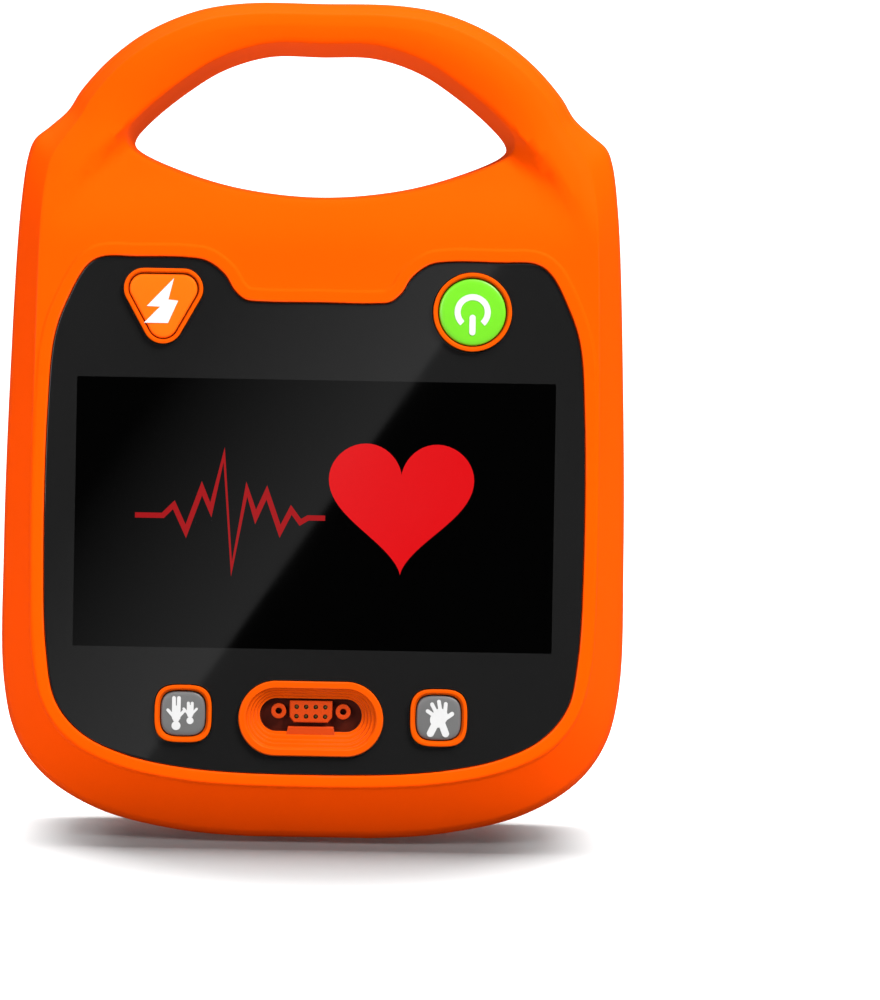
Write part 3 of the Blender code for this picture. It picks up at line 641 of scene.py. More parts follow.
# Colour, roughness, grain, depth, vary, wear and edge, then other inputs of the shader
MOULDED = {
    "case_orange": (ORANGE, 0.46, 0.9, 0.010, 0.03, 0.2, 0.8, {"IOR": 1.07, "Specular Tint": WARM}),
    "ring_orange": (
        (0.64, 0.07, 0.001), 0.33, 0.7, 0.003, 0.04, 0.25, 0.3,
        {"IOR": 1.2, "Specular Tint": WARM},
    ),
    # socket_orange, darker than ring_orange, and the near-black socket_dark are painted shade: they darken
    # the parts inside the socket's recess, its well and its contact holes
    "socket_orange": ((0.45, 0.04, 0.002), 0.4, 0.7, 0.003, 0.04, 0.3, 0.3, {"IOR": 1.2}),
    "socket_dark": ((0.07, 0.006, 0.001), 0.5, 0.7, 0.004, 0.1, 0.2, 0.3, {"IOR": 1.2}),
    "cap_orange": (
        (0.8, 0.12, 0.004), 0.34, 0.6, 0.003, 0.03, 0.2, 0.3,
        {"Specular IOR Level": 0.4, "Specular Tint": WARM},
    ),
    "seal_grey": ((0.05, 0.05, 0.05), 0.8, 0.5, 0.02, 0.15, 0.1, 0.3),
    "key_green": ((0.12, 0.5, 0.008), 0.32, 0.6, 0.003, 0.04, 0.2, 0.3),
    "key_grey": ((0.11, 0.11, 0.11), 0.45, 0.6, 0.004, 0.06, 0.3, 0.3),
    "icon_white": ((0.55, 0.55, 0.55), 0.4, 0.5, 0.002, 0.03, 0.05, 0.1),
    "silicone": ((0.55, 0.56, 0.55), 0.55, 0.8, 0.004, 0.05, 0.1, 0.3),
    "board_green": ((0.015, 0.12, 0.045), 0.35, 1.5, 0.01, 0.2, 0.5, 0.3),
    "steel": ((0.55, 0.56, 0.57), 0.32, 0.4, 0.003, 0.08, 0.4, 0.3, {"Metallic": 1.0}),
    "contact_gold": ((0.85, 0.6, 0.2), 0.25, 0.5, 0.002, 0.05, 0.3, 0.2, {"Metallic": 1.0}),
    "dark_plastic": ((0.028, 0.028, 0.03), 0.5, 0.7, 0.012, 0.2, 0.5, 0.4),
    "capacitor_blue": ((0.03, 0.07, 0.22), 0.3, 3.0, 0.01, 0.1, 0.4, 0.5),
    "ferrite": ((0.06, 0.055, 0.05), 0.7, 0.5, 0.02, 0.2, 0.3, 0.4),
    "film_amber": ((0.5, 0.22, 0.03), 0.25, 2.0, 0.004, 0.1, 0.1, 0.2),
    "foot_rubber": ((0.02, 0.02, 0.02), 0.8, 0.4, 0.02, 0.3, 0.5, 0.4),
    "icon_flash": ((0.6, 0.6, 0.6), 0.35, 0.5, 0.002, 0.02, 0.05, 0.1),
}
# Colour and roughness
GLOSSY = {
    "window_black": ((0.0078, 0.0078, 0.0078), 0.03),
    "screen_glass": ((0.0002, 0.0002, 0.0002), 0.03),
}
# Colour and strength
LIT = {
    "screen_red": ((0.78, 0.006, 0.009), 0.95),
    "screen_trace": ((0.45, 0.005, 0.008), 0.8),
}
MATERIALS = {}
for build, table in ((moulded, MOULDED), (glossy, GLOSSY), (lit, LIT)):
    for material_name, look in table.items():
        MATERIALS[material_name] = build(material_name, *look)


# Case


def arm_lean(z):
    """How far the handle's face is behind the rim at a height."""
    return HANDLE_BACK_OFF * smooth((z - FACE_TOP) / 50)


def dish_lean(z):
    """How far the dished face under the hand opening is behind the rim."""
    over = np.maximum(z - FACE_TOP + 3, 0)
    bend = np.minimum(over, DISH_BEND)
    return DISH_SLOPE * (bend * bend / (2 * DISH_BEND) + np.maximum(over - DISH_BEND, 0))


def arm_side(edge):
    """The area beside and above one edge of the step, in the right half."""
    return np.array([*edge, (300, edge[-1][1]), (300, 400), (0, 400), (0, edge[0][1] + 15)], float)


def front_depth(points):
    """The front face's depth, with the rim round the panel and the step beside the dish."""
    right = np.column_stack([np.abs(points[:, 0]), points[:, 1]])
    from_arm = signed_distance(right, arm_side(ARM_EDGE))
    from_dish = signed_distance(right, arm_side(DISH_EDGE))
    share = np.clip(from_arm, 0, None)
    share = share / np.maximum(share + np.clip(-from_dish, 0, None), 1e-6)
    share = np.where(from_arm <= 0, 0.0, np.where(from_dish >= 0, 1.0, 1 - (1 - share) ** 2))
    lean = arm_lean(right[:, 1]) * (1 - share) + dish_lean(right[:, 1]) * share
    from_panel = signed_distance(points, PANEL_LINE)
    rim = 1 - smooth((from_panel - RIM_WIDTH) / RIM_STEP)
    from_opening = signed_distance(points, OPENING_LINE) - OPENING_EDGE
    from_crest = -signed_distance(points, CREST_LINE)
    high = smooth((right[:, 1] - 200) / 25) * (1 - share)
    near = [np.clip(1 - away / CROWN_REACH, 0, 1) for away in (from_opening, from_crest)]
    round_off = np.minimum(near[0] ** 2 + near[1] ** 2, 1.2)
    return FACE_FRONT + (RIM_FRONT - FACE_FRONT) * rim + lean + CROWN * high * round_off


def rear_depth(points):
    """The back's depth: flat, then leaning forward to the back of the handle."""
    z = points[:, 1]
    rise = np.maximum(z - BACK_TOP, 0)
    bend = np.minimum(rise, BACK_BEND)
    plain = REAR_FACE - BACK_SLOPE * (bend * bend / (2 * BACK_BEND) + np.maximum(rise - BACK_BEND, 0))
    grip = HANDLE_REAR - HANDLE_TAPER * (z - 238)
    gap = plain - grip
    blend = (gap + BACK_BLEND) ** 2 / (4 * BACK_BLEND)
    return grip + np.where(gap > BACK_BLEND, gap, np.where(gap < -BACK_BLEND, 0, blend))


def widening(flare, outline, depth):
    """How much wider the hand opening is where its wall meets the face."""
    ys, wide = zip(*flare)
    reach = np.full(len(outline), 4.0)
    for _ in range(4):
        reach = np.interp(depth(offset(outline, reach)), ys, wide)
    return reach


def bent(first, corner, last, steps=5):
    """Rings of a rounded edge between two rings."""
    shares = [k / steps for k in range(steps + 1)]
    return [first * (1 - t) ** 2 + corner * 2 * t * (1 - t) + last * t * t for t in shares]


def add_opening_wall(bm, flare, depth, start, edge):
    """The hand opening's wall, from the parting plane to the face. Gives the face's boundary."""
    line = smooth_outline(HAND_OPENING, 12)
    reach = widening(flare, line, depth)
    foot = at_depth(line, start)
    corner_line = offset(line, reach)
    corner = at_depth(corner_line, depth(corner_line))
    face_line = offset(line, reach + edge)
    face = at_depth(face_line, depth(face_line))
    share = np.clip(edge / np.abs(corner[:, 1] - foot[:, 1]), 0, 0.5)[:, None]
    wall = corner + (foot - corner) * share
    rings = [foot, foot + (wall - foot) / 3, foot + (wall - foot) * 2 / 3]
    add_rings(bm, rings + bent(wall, corner, face))
    return face_line


def add_side(bm, start, depth, shares, edge, reach=1.0, draft=0.0, lip=0.0):
    """The case's side, from its outline at the parting plane to its face. Gives the face's boundary.
    The lip is how far the face stands out over the end of the side."""
    outer = smooth_outline(SILHOUETTE)
    inward = np.array(BODY_MIDDLE) - outer
    inward = np.column_stack([inward[:, 0], np.zeros(len(outer)), inward[:, 1]])
    crest = outer + (smooth_outline(CREST) - outer) * reach
    corner = at_depth(crest, depth(crest))
    foot = at_depth(outer, start)
    low = corner.copy()
    low[:, 1] += lip
    rings = []
    for across, back in shares:
        ring = foot + (low - foot) * np.array([across, back, across])
        rings.append(ring + inward * draft * min(back / 0.57, 1) * (1 - across))
    face_line = offset(crest, -edge)
    face = at_depth(face_line, depth(face_line))
    before = corner + (rings[-1] - corner) * np.where(lip > 0.02, 0.4, 0.999)[..., None]
    add_rings(bm, rings + bent(before, corner, face))
    return face_line


def chamfer_shares(steps=8):
    """Shares across and forward along a straight side that turns into a flat chamfer."""
    turn = [(0, 0.4), (0, 0.57), (0.16, 0.64)]
    shares = [(0, 0), (0, 0.13), (0, 0.27)]
    for k in range(steps + 1):
        t = k / steps
        weights = ((1 - t) ** 2, 2 * t * (1 - t), t * t)
        shares.append(tuple(sum(w * row[i] for w, row in zip(weights, turn)) for i in (0, 1)))
    across, forward = turn[-1]
    for t in (0.25, 0.5, 0.75, 0.93, 0.96):
        shares.append((across + (1 - across) * t, forward + (1 - forward) * t))
    return shares


def add_well(bm, outline, rim, floor, edge=0.5, ledge=2.0):
    """The wall of a recess, with a rounded mouth and a ledge at its foot. Gives the face's boundary."""
    mouth = offset(outline, edge)
    rim = np.broadcast_to(np.asarray(rim, float), (len(outline),))
    inward = edge if floor > rim.mean() else -edge
    rings = bent(at_depth(mouth, rim), at_depth(outline, rim), at_depth(outline, rim + inward))
    rings.append(at_depth(outline, floor))
    if ledge:
        rings.append(at_depth(offset(outline, -ledge), floor))
    add_rings(bm, rings)
    return mouth


PANEL_LINE = smooth_outline(PANEL, 8)
OPENING_LINE = smooth_outline(HAND_OPENING, 8)
CREST_LINE = smooth_outline(CREST, 8)


def front_shell():
    bm = bmesh.new()
    height = smooth_outline(SILHOUETTE)[:, 1]
    edge = 0.5 + 3.0 * smooth((height - 200) / 25)
    lip = LIP * (1 - smooth((height - 165) / 45))
    face = add_side(bm, PARTING, front_depth, chamfer_shares(), edge, 1.0, SIDE_DRAFT, lip)
    opening = smooth_outline(HAND_OPENING, 12)
    edge = 0.9 + 0.8 * smooth((250 - opening[:, 1]) / 12)
    hole = add_opening_wall(bm, FRONT_FLARE, front_depth, PARTING, edge)
    line = offset(PANEL_LINE, GAP)
    rim = front_depth(line)
    mouth = add_well(bm, line, rim, RECESS_FLOOR, 0.5)
    across = (-0.2, 0.15, 0.5, 0.85, 1.2)
    step = [offset(PANEL_LINE, RIM_WIDTH + RIM_STEP * share) for share in across]
    wedge = (ARM_EDGE, (np.array(ARM_EDGE) + np.array(DISH_EDGE)) / 2, DISH_EDGE)
    step += [refined_line(line, 0.9, side) for line in wedge for side in (-1, 1)]
    add_region(bm, face, [hole, mouth], front_depth, 2.4, (0.5, 1.1, 1.9), rings=step)
    outer = smooth_outline(SILHOUETTE)
    inner = offset(outer, -CASE_WALL)
    add_rings(bm, [at_depth(outer, PARTING), at_depth(inner, PARTING), at_depth(inner, PARTING - 5)])
    finished("front_shell", bm, ["case_orange"], "root", ["front_case"])


def battery_mouth():
    x, (low, high) = BATTERY_X, BATTERY_Z
    return refined(box_outline((-x - GAP, low - GAP), (x + GAP, high + GAP), 2.0), 4)


def speaker_slots():
    x, z = SPEAKER_MIDDLE
    slots = []
    for k in range(-2, 3):
        middle = z + k * SLOT_PITCH
        low, high = (x - SLOT_LENGTH / 2, middle - SLOT_HALF), (x + SLOT_LENGTH / 2, middle + SLOT_HALF)
        slots.append(box_outline(low, high, SLOT_HALF - 0.01))
    return slots


def rear_shell():
    bm = bmesh.new()
    shares = [(0, 0), (0, 0.25), (0, 0.5), (0, 0.72)]
    for k in range(1, 12):
        angle = math.pi / 2 * k / 12
        shares.append((1 - math.cos(angle), 0.72 + 0.28 * math.sin(angle)))
    face = add_side(bm, REAR_START, rear_depth, shares, np.full(1, 0.6), 0.5)
    edge = np.full(len(smooth_outline(HAND_OPENING, 12)), 2.2)
    holes = [add_opening_wall(bm, REAR_FLARE, rear_depth, REAR_START, edge)]
    for middle in CASE_SCREWS:
        line = circle(middle, 3.6, 40)
        holes.append(add_well(bm, line, rear_depth(line), 26.0, -0.5, 1.6))
    for middle in FEET:
        line = circle(middle, FOOT_RADIUS + GAP, 48)
        holes.append(add_well(bm, line, rear_depth(line), REAR_FACE - 1, -0.3, 6.0))
    for line in speaker_slots():
        holes.append(add_well(bm, line, REAR_FACE, 33.0, -0.4, 0))
    line = battery_mouth()
    holes.append(add_well(bm, line, REAR_FACE, BATTERY_FRONT - GAP, -0.8, 0))
    window = box_outline((-13.5, 59), (13.5, 69), 0.5)
    add_region(bm, line, [window], level(BATTERY_FRONT - GAP), 12, (1.5,))
    add_region(bm, face, holes, rear_depth, 3.6, (0.6, 1.5, 2.6))
    outer = smooth_outline(SILHOUETTE)
    inner = offset(outer, -CASE_WALL)
    add_rings(bm, [at_depth(outer, REAR_START), at_depth(inner, REAR_START), at_depth(inner, 8)])
    finished("rear_shell", bm, ["case_orange"], "root", ["rear_case"])


# Window and screen


def window_holes():
    return [
        drop(6.5 + GAP),
        circle(POWER_MIDDLE, 12.75 + GAP, 96),
        key_outline(PATIENT_MIDDLE, 6.0 + GAP),
        key_outline(CPR_MIDDLE, 6.0 + GAP),
        pill(PILL_RADIUS + GAP),
    ]


def screen_outline(edge=0.0):
    x, z = SCREEN_MIDDLE
    wide, tall = SCREEN_SIZE[0] / 2 - edge, SCREEN_SIZE[1] / 2 - edge
    return refined(box_outline((x - wide, z - tall), (x + wide, z + tall), 0.4, 16), 6)


def window():
    bm = bmesh.new()
    face = offset(PANEL_LINE, -PANEL_EDGE)
    low = at_depth(PANEL_LINE, PANEL_FRONT + PANEL_EDGE)
    rim = bent(low, at_depth(PANEL_LINE, PANEL_FRONT), at_depth(face, PANEL_FRONT))
    add_rings(bm, [at_depth(PANEL_LINE, PANEL_BACK), *rim])
    holes = window_holes()
    for hole in holes:
        add_rings(bm, [at_depth(hole, PANEL_BACK), at_depth(hole, PANEL_FRONT)])
    add_region(bm, face, holes, level(PANEL_FRONT), 9.0, (0.4, 1.5), [(screen_outline(), 1)])
    materials = ["window_black", "screen_glass"]
    finished("window", bm, materials, "root", ["window_panel"], flat_angle=30)


def ribbon_outline(line, wide):
    """The outline of a line of the given width, with mitred bends."""
    line = np.array(line, float)
    left, right = [], []
    for i, point in enumerate(line):
        before = line[max(i - 1, 0)]
        after = line[min(i + 1, len(line) - 1)]
        come = (point - before) if i else (after - point)
        leave = (after - point) if i < len(line) - 1 else (point - before)
        come, leave = come / np.linalg.norm(come), leave / np.linalg.norm(leave)
        normal = np.array([-(come + leave)[1], (come + leave)[0]])
        normal /= np.linalg.norm(normal)
        reach = wide / 2 / max(0.35, normal @ np.array([-come[1], come[0]]))
        left.append(point + normal * reach)
        right.append(point - normal * reach)
    return np.array(left + right[::-1])


TRACE = (
    (-58, 0), (-49, 0), (-45.5, 3.5), (-41.5, -5), (-36.5, 9), (-33.5, 2), (-29.5, 20), (-26.5, -17),
    (-22, 9), (-19, 0), (-15.5, 8), (-11, -4.5), (-7.5, 2.5), (-4.5, -1.5), (-2, 0), (3.5, 0),
)
TRACE_RISE = -1.0
TRACE_WIDTH = 1.7
LAYER = 0.04
HEART_MIDDLE = (28.0, 110.5)
HEART_HALF = 23.5


def heart_outline():
    """A plain heart, from the usual sine formula."""
    points = []
    for k in range(96):
        t = 2 * math.pi * k / 96
        x = 16 * math.sin(t) ** 3
        z = 13 * math.cos(t) - 5 * math.cos(2 * t) - 2 * math.cos(3 * t) - math.cos(4 * t)
        points.append((x, z + 2.5))
    return np.array(points) * HEART_HALF / 16 + HEART_MIDDLE


def screen_picture():
    """The heart-rate trace and the heart, as thin lit layers on the screen."""
    bm = bmesh.new()
    trace = np.array(TRACE) + (0, SCREEN_MIDDLE[1] + TRACE_RISE)
    add_plate(bm, ribbon_outline(trace, TRACE_WIDTH), PANEL_FRONT - LAYER, PANEL_FRONT + 0.2)
    finished("screen_trace", bm, ["screen_trace"], "root", flat_angle=30)
    bm = bmesh.new()
    add_plate(bm, heart_outline(), PANEL_FRONT - LAYER, PANEL_FRONT + 0.2)
    finished("screen_heart", bm, ["screen_red"], "root", flat_angle=30)


# Buttons


def bezel(name, outline_at, outer, cap, node):
    """A raised ring round a key, with a rounded land and a groove beside the cap."""
    profile = [
        (outer, -33), (outer, BEZEL_FRONT + 0.1), (outer - 0.4, BEZEL_FRONT), (outer - 1.1, BEZEL_FRONT),
        (outer - 1.35, BEZEL_FRONT + 0.7), (cap + GAP, BEZEL_FRONT + 1.2), (cap + GAP, -33),
    ]
    bm = bmesh.new()
    add_sweep(bm, outline_at, softened(profile, 0.3, True))
    finished(name, bm, ["ring_orange"], "root", [node])


def add_cap(bm, outline_at, cap, crown=0.22, back=-34.2):
    front = CAP_FRONT + crown
    side = [(cap, back), (cap, front + 0.7), (cap - 0.25, front + 0.2), (cap - 0.9, front)]
    profile = softened(side, 0.35)
    add_sweep(bm, outline_at, profile, False)
    add_dome(bm, outline_at(cap - 0.9), front, crown)
    bm.faces.new([bm.verts.new(point) for point in at_depth(outline_at(cap), back)])


def keys():
    plans = (
        ("shock", drop, 6.5, 4.75, "cap_orange", "ring_orange"),
        ("power", lambda r: circle(POWER_MIDDLE, r, 128), 12.7, 10.85, "key_green", "key_green"),
        ("patient", lambda r: key_outline(PATIENT_MIDDLE, r), 5.95, 3.95, "key_grey", "key_grey"),
        ("cpr", lambda r: key_outline(CPR_MIDDLE, r), 5.95, 3.95, "key_grey", "key_grey"),
    )
    for name, outline_at, outer, cap, look, slot in plans:
        bezel(f"{name}_ring", outline_at, outer, cap, f"{name}_bezel")
        bm = bmesh.new()
        add_cap(bm, outline_at, cap)
        finished(f"{name}_cap", bm, [look], f"{name}_key", [f"{name}_button"])


ICON_FRONT = CAP_FRONT - 0.05
ICON_BACK = CAP_FRONT + 0.6
BOLT = ((3.34, 9.0), (-5.3, -0.1), (-1.0, -0.25), (-6.1, -5.5), (1.64, -5.5), (4.8, 1.76), (1.64, 2.1))


def capsule(first, last, radius):
    return rounded_outline((0, 0), (first, last), radius, 32)


def icon(name, middle, outlines, body, scale=1.0, look="icon_white"):
    """A printed sign on a key, made of overlapping flat shapes."""
    bm = bmesh.new()
    for k, outline in enumerate(outlines):
        placed = np.array(outline) * scale + middle
        add_plate(bm, placed, ICON_FRONT - 0.004 * k, ICON_BACK)
    finished(name, bm, [look], body, weld=0.0001, flat_angle=30)


def power_sign():
    gap = math.radians(42)
    steps = 48
    angles = [-math.pi / 2 + gap + (2 * math.pi - 2 * gap) * k / steps for k in range(steps + 1)]
    turns = [np.array((math.cos(a), math.sin(a))) for a in angles]
    outer = [turn * 5.85 for turn in turns]
    inner = [turn * 3.9 for turn in turns]
    bar = capsule((0, -1.8), (0, -6.5), 1.0)
    return [np.array(outer + inner[::-1]), bar]


def figures_sign():
    """An adult and a child, side by side."""
    shapes = []
    for x, head, foot, size in ((-2.2, -3.9, 5.6, 1.0), (2.3, -2.2, 4.0, 0.78)):
        shapes.append(circle((x, head), 1.45 * size, 32))
        neck = head + 2.0 * size
        hip = neck + 3.4 * size
        for side in (-size, size):
            leg = (x + side * 0.75, neck + 0.5), (x + side * 0.8, foot - 0.6)
            shapes.append(capsule(*leg, 0.62 * size))
            shapes.append(capsule((x, neck), (x + side * 2.7, hip - 0.4), 0.5 * size))
        shapes.append(capsule((x, neck + 0.2), (x, hip), 1.1 * size))
    return shapes


def hand_sign():
    """A spread hand over a wrist."""
    shapes = [capsule((-0.3, -0.6), (0.5, 0.6), 2.5)]
    fingers = ((-3.6, 2.2), (-2.2, 4.4), (0.0, 5.3), (2.2, 4.6))
    for k, tip in enumerate(fingers):
        shapes.append(capsule((-1.5 + k * 1.15, 0.8), tip, 0.62))
    shapes.append(capsule((1.2, -0.8), (4.3, 1.4), 0.7))
    shapes.append(capsule((-0.9, -1.5), (-2.6, -5.0), 1.15))
    shapes.append(capsule((0.9, -1.5), (2.3, -5.0), 1.15))
    return shapes


def icons():
    icon("shock_sign", DROP_MIDDLE, [np.array(BOLT)], "shock_key", look="icon_flash")
    icon("power_sign", POWER_MIDDLE, power_sign(), "power_key")
    icon("patient_sign", PATIENT_MIDDLE, figures_sign(), "patient_key")
    icon("cpr_sign", CPR_MIDDLE, hand_sign(), "cpr_key")


# Pad socket


def socket():
    """The socket's bezel, stepping down to a well coloured near-black as painted shade."""
    bm = bmesh.new()
    # Radius of the ends, rise of the middle, half the distance between the ends, and depth
    rows = [
        (12.05, 0, PILL_HALF, -33), (12.05, 0, PILL_HALF, -39.7), (11.75, 0, PILL_HALF, -40),
        (10.0, 0, PILL_HALF, -40), (9.75, 0.1, 11.2, -39.7), (9.35, 0.1, 11.2, -38.8),
        (8.75, 0.4, 11.0, -38.7), (8.4, 0.4, 11.0, -37.9), (7.7, 0.55, 11.0, -37.8),
        (7.35, 0.55, 11.0, -37.0), (6.55, 0.8, 11.1, -36.9), (6.2, 0.8, 11.1, -36.2),
        (5.35, 0.93, 11.2, -36.1),
    ]
    rings = []
    for first, last in zip(rows, rows[1:]):
        for share in (0.0, 0.12, 0.5, 0.88):
            radius, rise, half, y = (a + (b - a) * share for a, b in zip(first, last))
            rings.append(at_depth(pill(radius, rise, half), y))
    radius, rise, half, y = rows[-1]
    rings.append(at_depth(pill(radius, rise, half), y))
    add_rings(bm, rings)
    # The well's wall and floor take socket_dark, a near-black that paints the shade in the well.
    well = [rings[-1], *(at_depth(pill(reach, rise, half), SOCKET_FLOOR) for reach in (5.25, 2.0))]
    made = add_rings(bm, well, mat=1)
    bm.faces.new(made[-1]).material_index = 1
    looks = ["ring_orange", "socket_dark"]
    finished("socket_bezel", bm, looks, "root", ["connector_bezel"], flat_angle=35)
    socket_inside()


def socket_inside():
    """The block with eight contact holes, the two guide posts and the key below them."""
    x, z = SOCKET_MIDDLE
    bm = bmesh.new()
    block = refined(np.array(BLOCK) + (x, z), 2.0)
    rises = (PIN_RISE - PIN_PITCH / 2, PIN_RISE + PIN_PITCH / 2)
    pins = [((k - 1.5) * PIN_PITCH, rise) for rise in rises for k in range(4)]
    holes = [circle((x + px, z + pz), 0.75, 20) for px, pz in pins]
    face = offset(block, -0.3)
    add_rings(bm, [at_depth(block, -33), at_depth(block, BLOCK_FRONT + 0.3), at_depth(face, BLOCK_FRONT)])
    # The contact holes take socket_dark, a near-black that paints the shade inside them.
    for hole in holes:
        rows = add_rings(bm, [at_depth(hole, BLOCK_FRONT), at_depth(hole, HOLE_FLOOR)], mat=1)
        bm.faces.new(rows[-1]).material_index = 1
    add_region(bm, face, holes, level(BLOCK_FRONT), 2.0, (0.25,))
    for side in (-1, 1):
        middle = (x + side * GUIDE_X, z + PIN_RISE)
        profile = softened([(2.45, -33), (2.45, -36.4), (1.05, -36.4), (1.05, -33)], 0.25)
        add_sweep(bm, lambda r: circle(middle, r, 40), profile, False)
    step = np.array([(-7.4, -2.85), (7.4, -2.85), (7.9, -5.6), (-7.9, -5.6)]) + (x, z)
    add_plate(bm, step, -36.3, -33.3, 0.3)
    # socket_orange is a darker orange that paints the shade inside the socket's recess.
    looks = ["socket_orange", "socket_dark"]
    finished("socket_insert", bm, looks, "root", ["connector_socket"], flat_angle=35)


# Back


def feet():
    """Four rubber feet with a dimple in each."""
    profile = [
        (0.01, FOOT_FACE - 0.5), (3.0, FOOT_FACE - 0.5), (3.4, FOOT_FACE),
        (5.4, FOOT_FACE), (FOOT_RADIUS, FOOT_FACE - 0.8), (FOOT_RADIUS, REAR_FACE - 1),
    ]
    for k, middle in enumerate(FEET, 1):
        bm = bmesh.new()
        add_sweep(bm, lambda r: circle(middle, r, 56), softened(profile, 0.4), False)
        finished(f"foot_{k}", bm, ["foot_rubber"], "root", [f"rear_foot_{k}"])


def screw_heads():
    """Domed heads with a six-sided socket over the six case screws."""
    profile = [(3.1, 26.1), (3.1, 27.6), (2.3, 28.5), (1.35, 28.7)]
    for k, (x, z) in enumerate(CASE_SCREWS, 1):
        bm = bmesh.new()
        add_sweep(bm, lambda r: circle((x, z), r, 36), softened(profile, 0.35), False)
        hexagon = circle((x, z), 1.35, 36)
        socket_line = refined(circle((x, z), 1.3, 6), 0.24)[:36]
        rings = [at_depth(hexagon, 28.7), at_depth(socket_line, 28.6), at_depth(socket_line, 27.2)]
        rows = add_rings(bm, rings)
        bm.faces.new(rows[-1])
        finished(f"screw_head_{k}", bm, ["steel"], "root", flat_angle=40)


def battery_depth(points):
    """The battery's back, with a scoop for a finger and five grip ribs below the latch."""
    x, z = np.abs(points[:, 0]), points[:, 1]
    low, high = GRIP_Z
    scoop = SCOOP_DEPTH * smooth((20.5 - x) / 3.5) * smooth((34.5 - z) / 7)
    ribs = (x < GRIP_HALF) & (z > low) & (z < high)
    wave = 0.5 - 0.5 * np.cos((z - low) * 2 * math.pi / GRIP_PITCH)
    fade = smooth((GRIP_HALF - x) / 2)
    return BATTERY_BACK - scoop - np.where(ribs, RIDGE * wave * fade, 0)


def battery():
    (low, high), x = BATTERY_Z, BATTERY_X
    bm = bmesh.new()
    body = refined(box_outline((-x, low), (x, high), 2.0), 3)
    side = LATCH_X + GAP
    add_rings(bm, [at_depth(body, BATTERY_FRONT + 0.6), at_depth(body, WELL_FLOOR)])
    front = offset(body, -0.6)
    add_rings(bm, [at_depth(body, BATTERY_FRONT + 0.6), at_depth(front, BATTERY_FRONT)])
    recess = box_outline((-13.2, 59.3), (13.2, 68.7), 0.5)
    add_region(bm, front, [recess], level(BATTERY_FRONT), 12, (1.5,))
    rows = add_rings(bm, [at_depth(recess, BATTERY_FRONT), at_depth(recess, 10.5)])
    bm.faces.new(rows[-1])
    floor = [(x, LATCH_FLOOR) for x in (-side, -POCKET_HALF, POCKET_HALF, side)]
    notch = [(-side, high), *floor, (side, high)]
    outline = notched(body, notch, side, high)
    top = offset(outline, -0.9)
    depth = battery_depth(top)
    edge = battery_depth(outline)
    corner = at_depth(outline, edge)
    wall = at_depth(outline, edge - 0.9)
    end = add_spring_pocket(bm, outline, WELL_FLOOR)
    add_rings(bm, [end, *bent(wall, corner, at_depth(top, depth))])
    add_region(bm, top, [], battery_depth, 1.6, (0.5, 1.2))
    lid = refined(np.array(notch), 3)
    bm.faces.new([bm.verts.new(p) for p in at_depth(lid, WELL_FLOOR)])
    finished("battery_case", bm, ["case_orange"], "battery", ["battery_pack"], flat_angle=50)


def add_spring_pocket(bm, outline, start):
    """The battery's wall up to its rounded edge, with room for the spring of the pressed latch."""
    ends = [i for i, (x, z) in enumerate(outline) if math.isclose(abs(x), POCKET_HALF) and z == LATCH_FLOOR]
    line = np.repeat(outline, [1 + (i in ends) for i in range(len(outline))], axis=0)
    deep = line.copy()
    deep[ends[0] + 1 : ends[1] + 2, 1] -= POCKET_DEPTH
    limit = battery_depth(line) - 1
    low, high = (np.minimum(SPRING_Y + side * POCKET_HALF, limit) for side in (-1, 1))
    steps = ((line, start), (line, low), (deep, low), (deep, high), (line, high))
    add_rings(bm, [at_depth(*step) for step in steps])
    return at_depth(outline, np.minimum(SPRING_Y + POCKET_HALF, battery_depth(outline) - 1))


def notched(body, notch, side, high):
    """The body's outline with the latch's notch let into its top edge."""
    kept = [tuple(p) for p in body if not (abs(p[0]) < side + 1 and p[1] > high - 1)]
    start = max(range(len(kept)), key=lambda i: math.dist(kept[i], kept[(i + 1) % len(kept)]))
    rows = kept[start + 1 :] + kept[: start + 1]
    ends = notch if rows[-1][0] < 0 else notch[::-1]
    return refined(np.array(rows + ends), 2.0)


def latch():
    """The latch's thumb pad, with ridges across it."""
    bm = bmesh.new()
    low, high = LATCH_Z
    half = LATCH_X - 0.8
    outline = refined(box_outline((-half, low + 0.8), (half, high - 0.8), 1.2), 1.5)

    def ridged(points):
        z = points[:, 1]
        wave = 0.5 - 0.5 * np.cos((z - low - 3) * 2 * math.pi / RIDGE_PITCH)
        ridged_part = (z > low + 3) & (z < high - 3)
        fade = smooth(LATCH_X - 2 - np.abs(points[:, 0]))
        return LATCH_BACK + 0.02 + np.where(ridged_part, RIDGE * wave * fade, 0)

    inner = offset(outline, -0.5)
    edge = [at_depth(outline, LATCH_BACK - 0.8), at_depth(outline, LATCH_BACK - 0.3)]
    add_rings(bm, [*edge, at_depth(inner, ridged(inner))])
    add_region(bm, inner, [], ridged, 0.5, (0.25,))
    finished("latch_pad", bm, ["dark_plastic"], "latch")


def dress_nodes():
    """Gives each carried-over CAD node the material of its slot."""
    for row in frame["record"]["subparts"]:
        node = frame["nodes"][row["node"]]
        node.data.materials.clear()
        node.data.materials.append(MATERIALS[row["material_slot"]])


# Stage


# The paper sheet under and behind the object, in metres
SHEET_FRONT = -2.2
SHEET_BEND = 1.6
SHEET_CURVE = 0.9
SHEET_TOP = 3.5
SHEET_HALF = 3.5


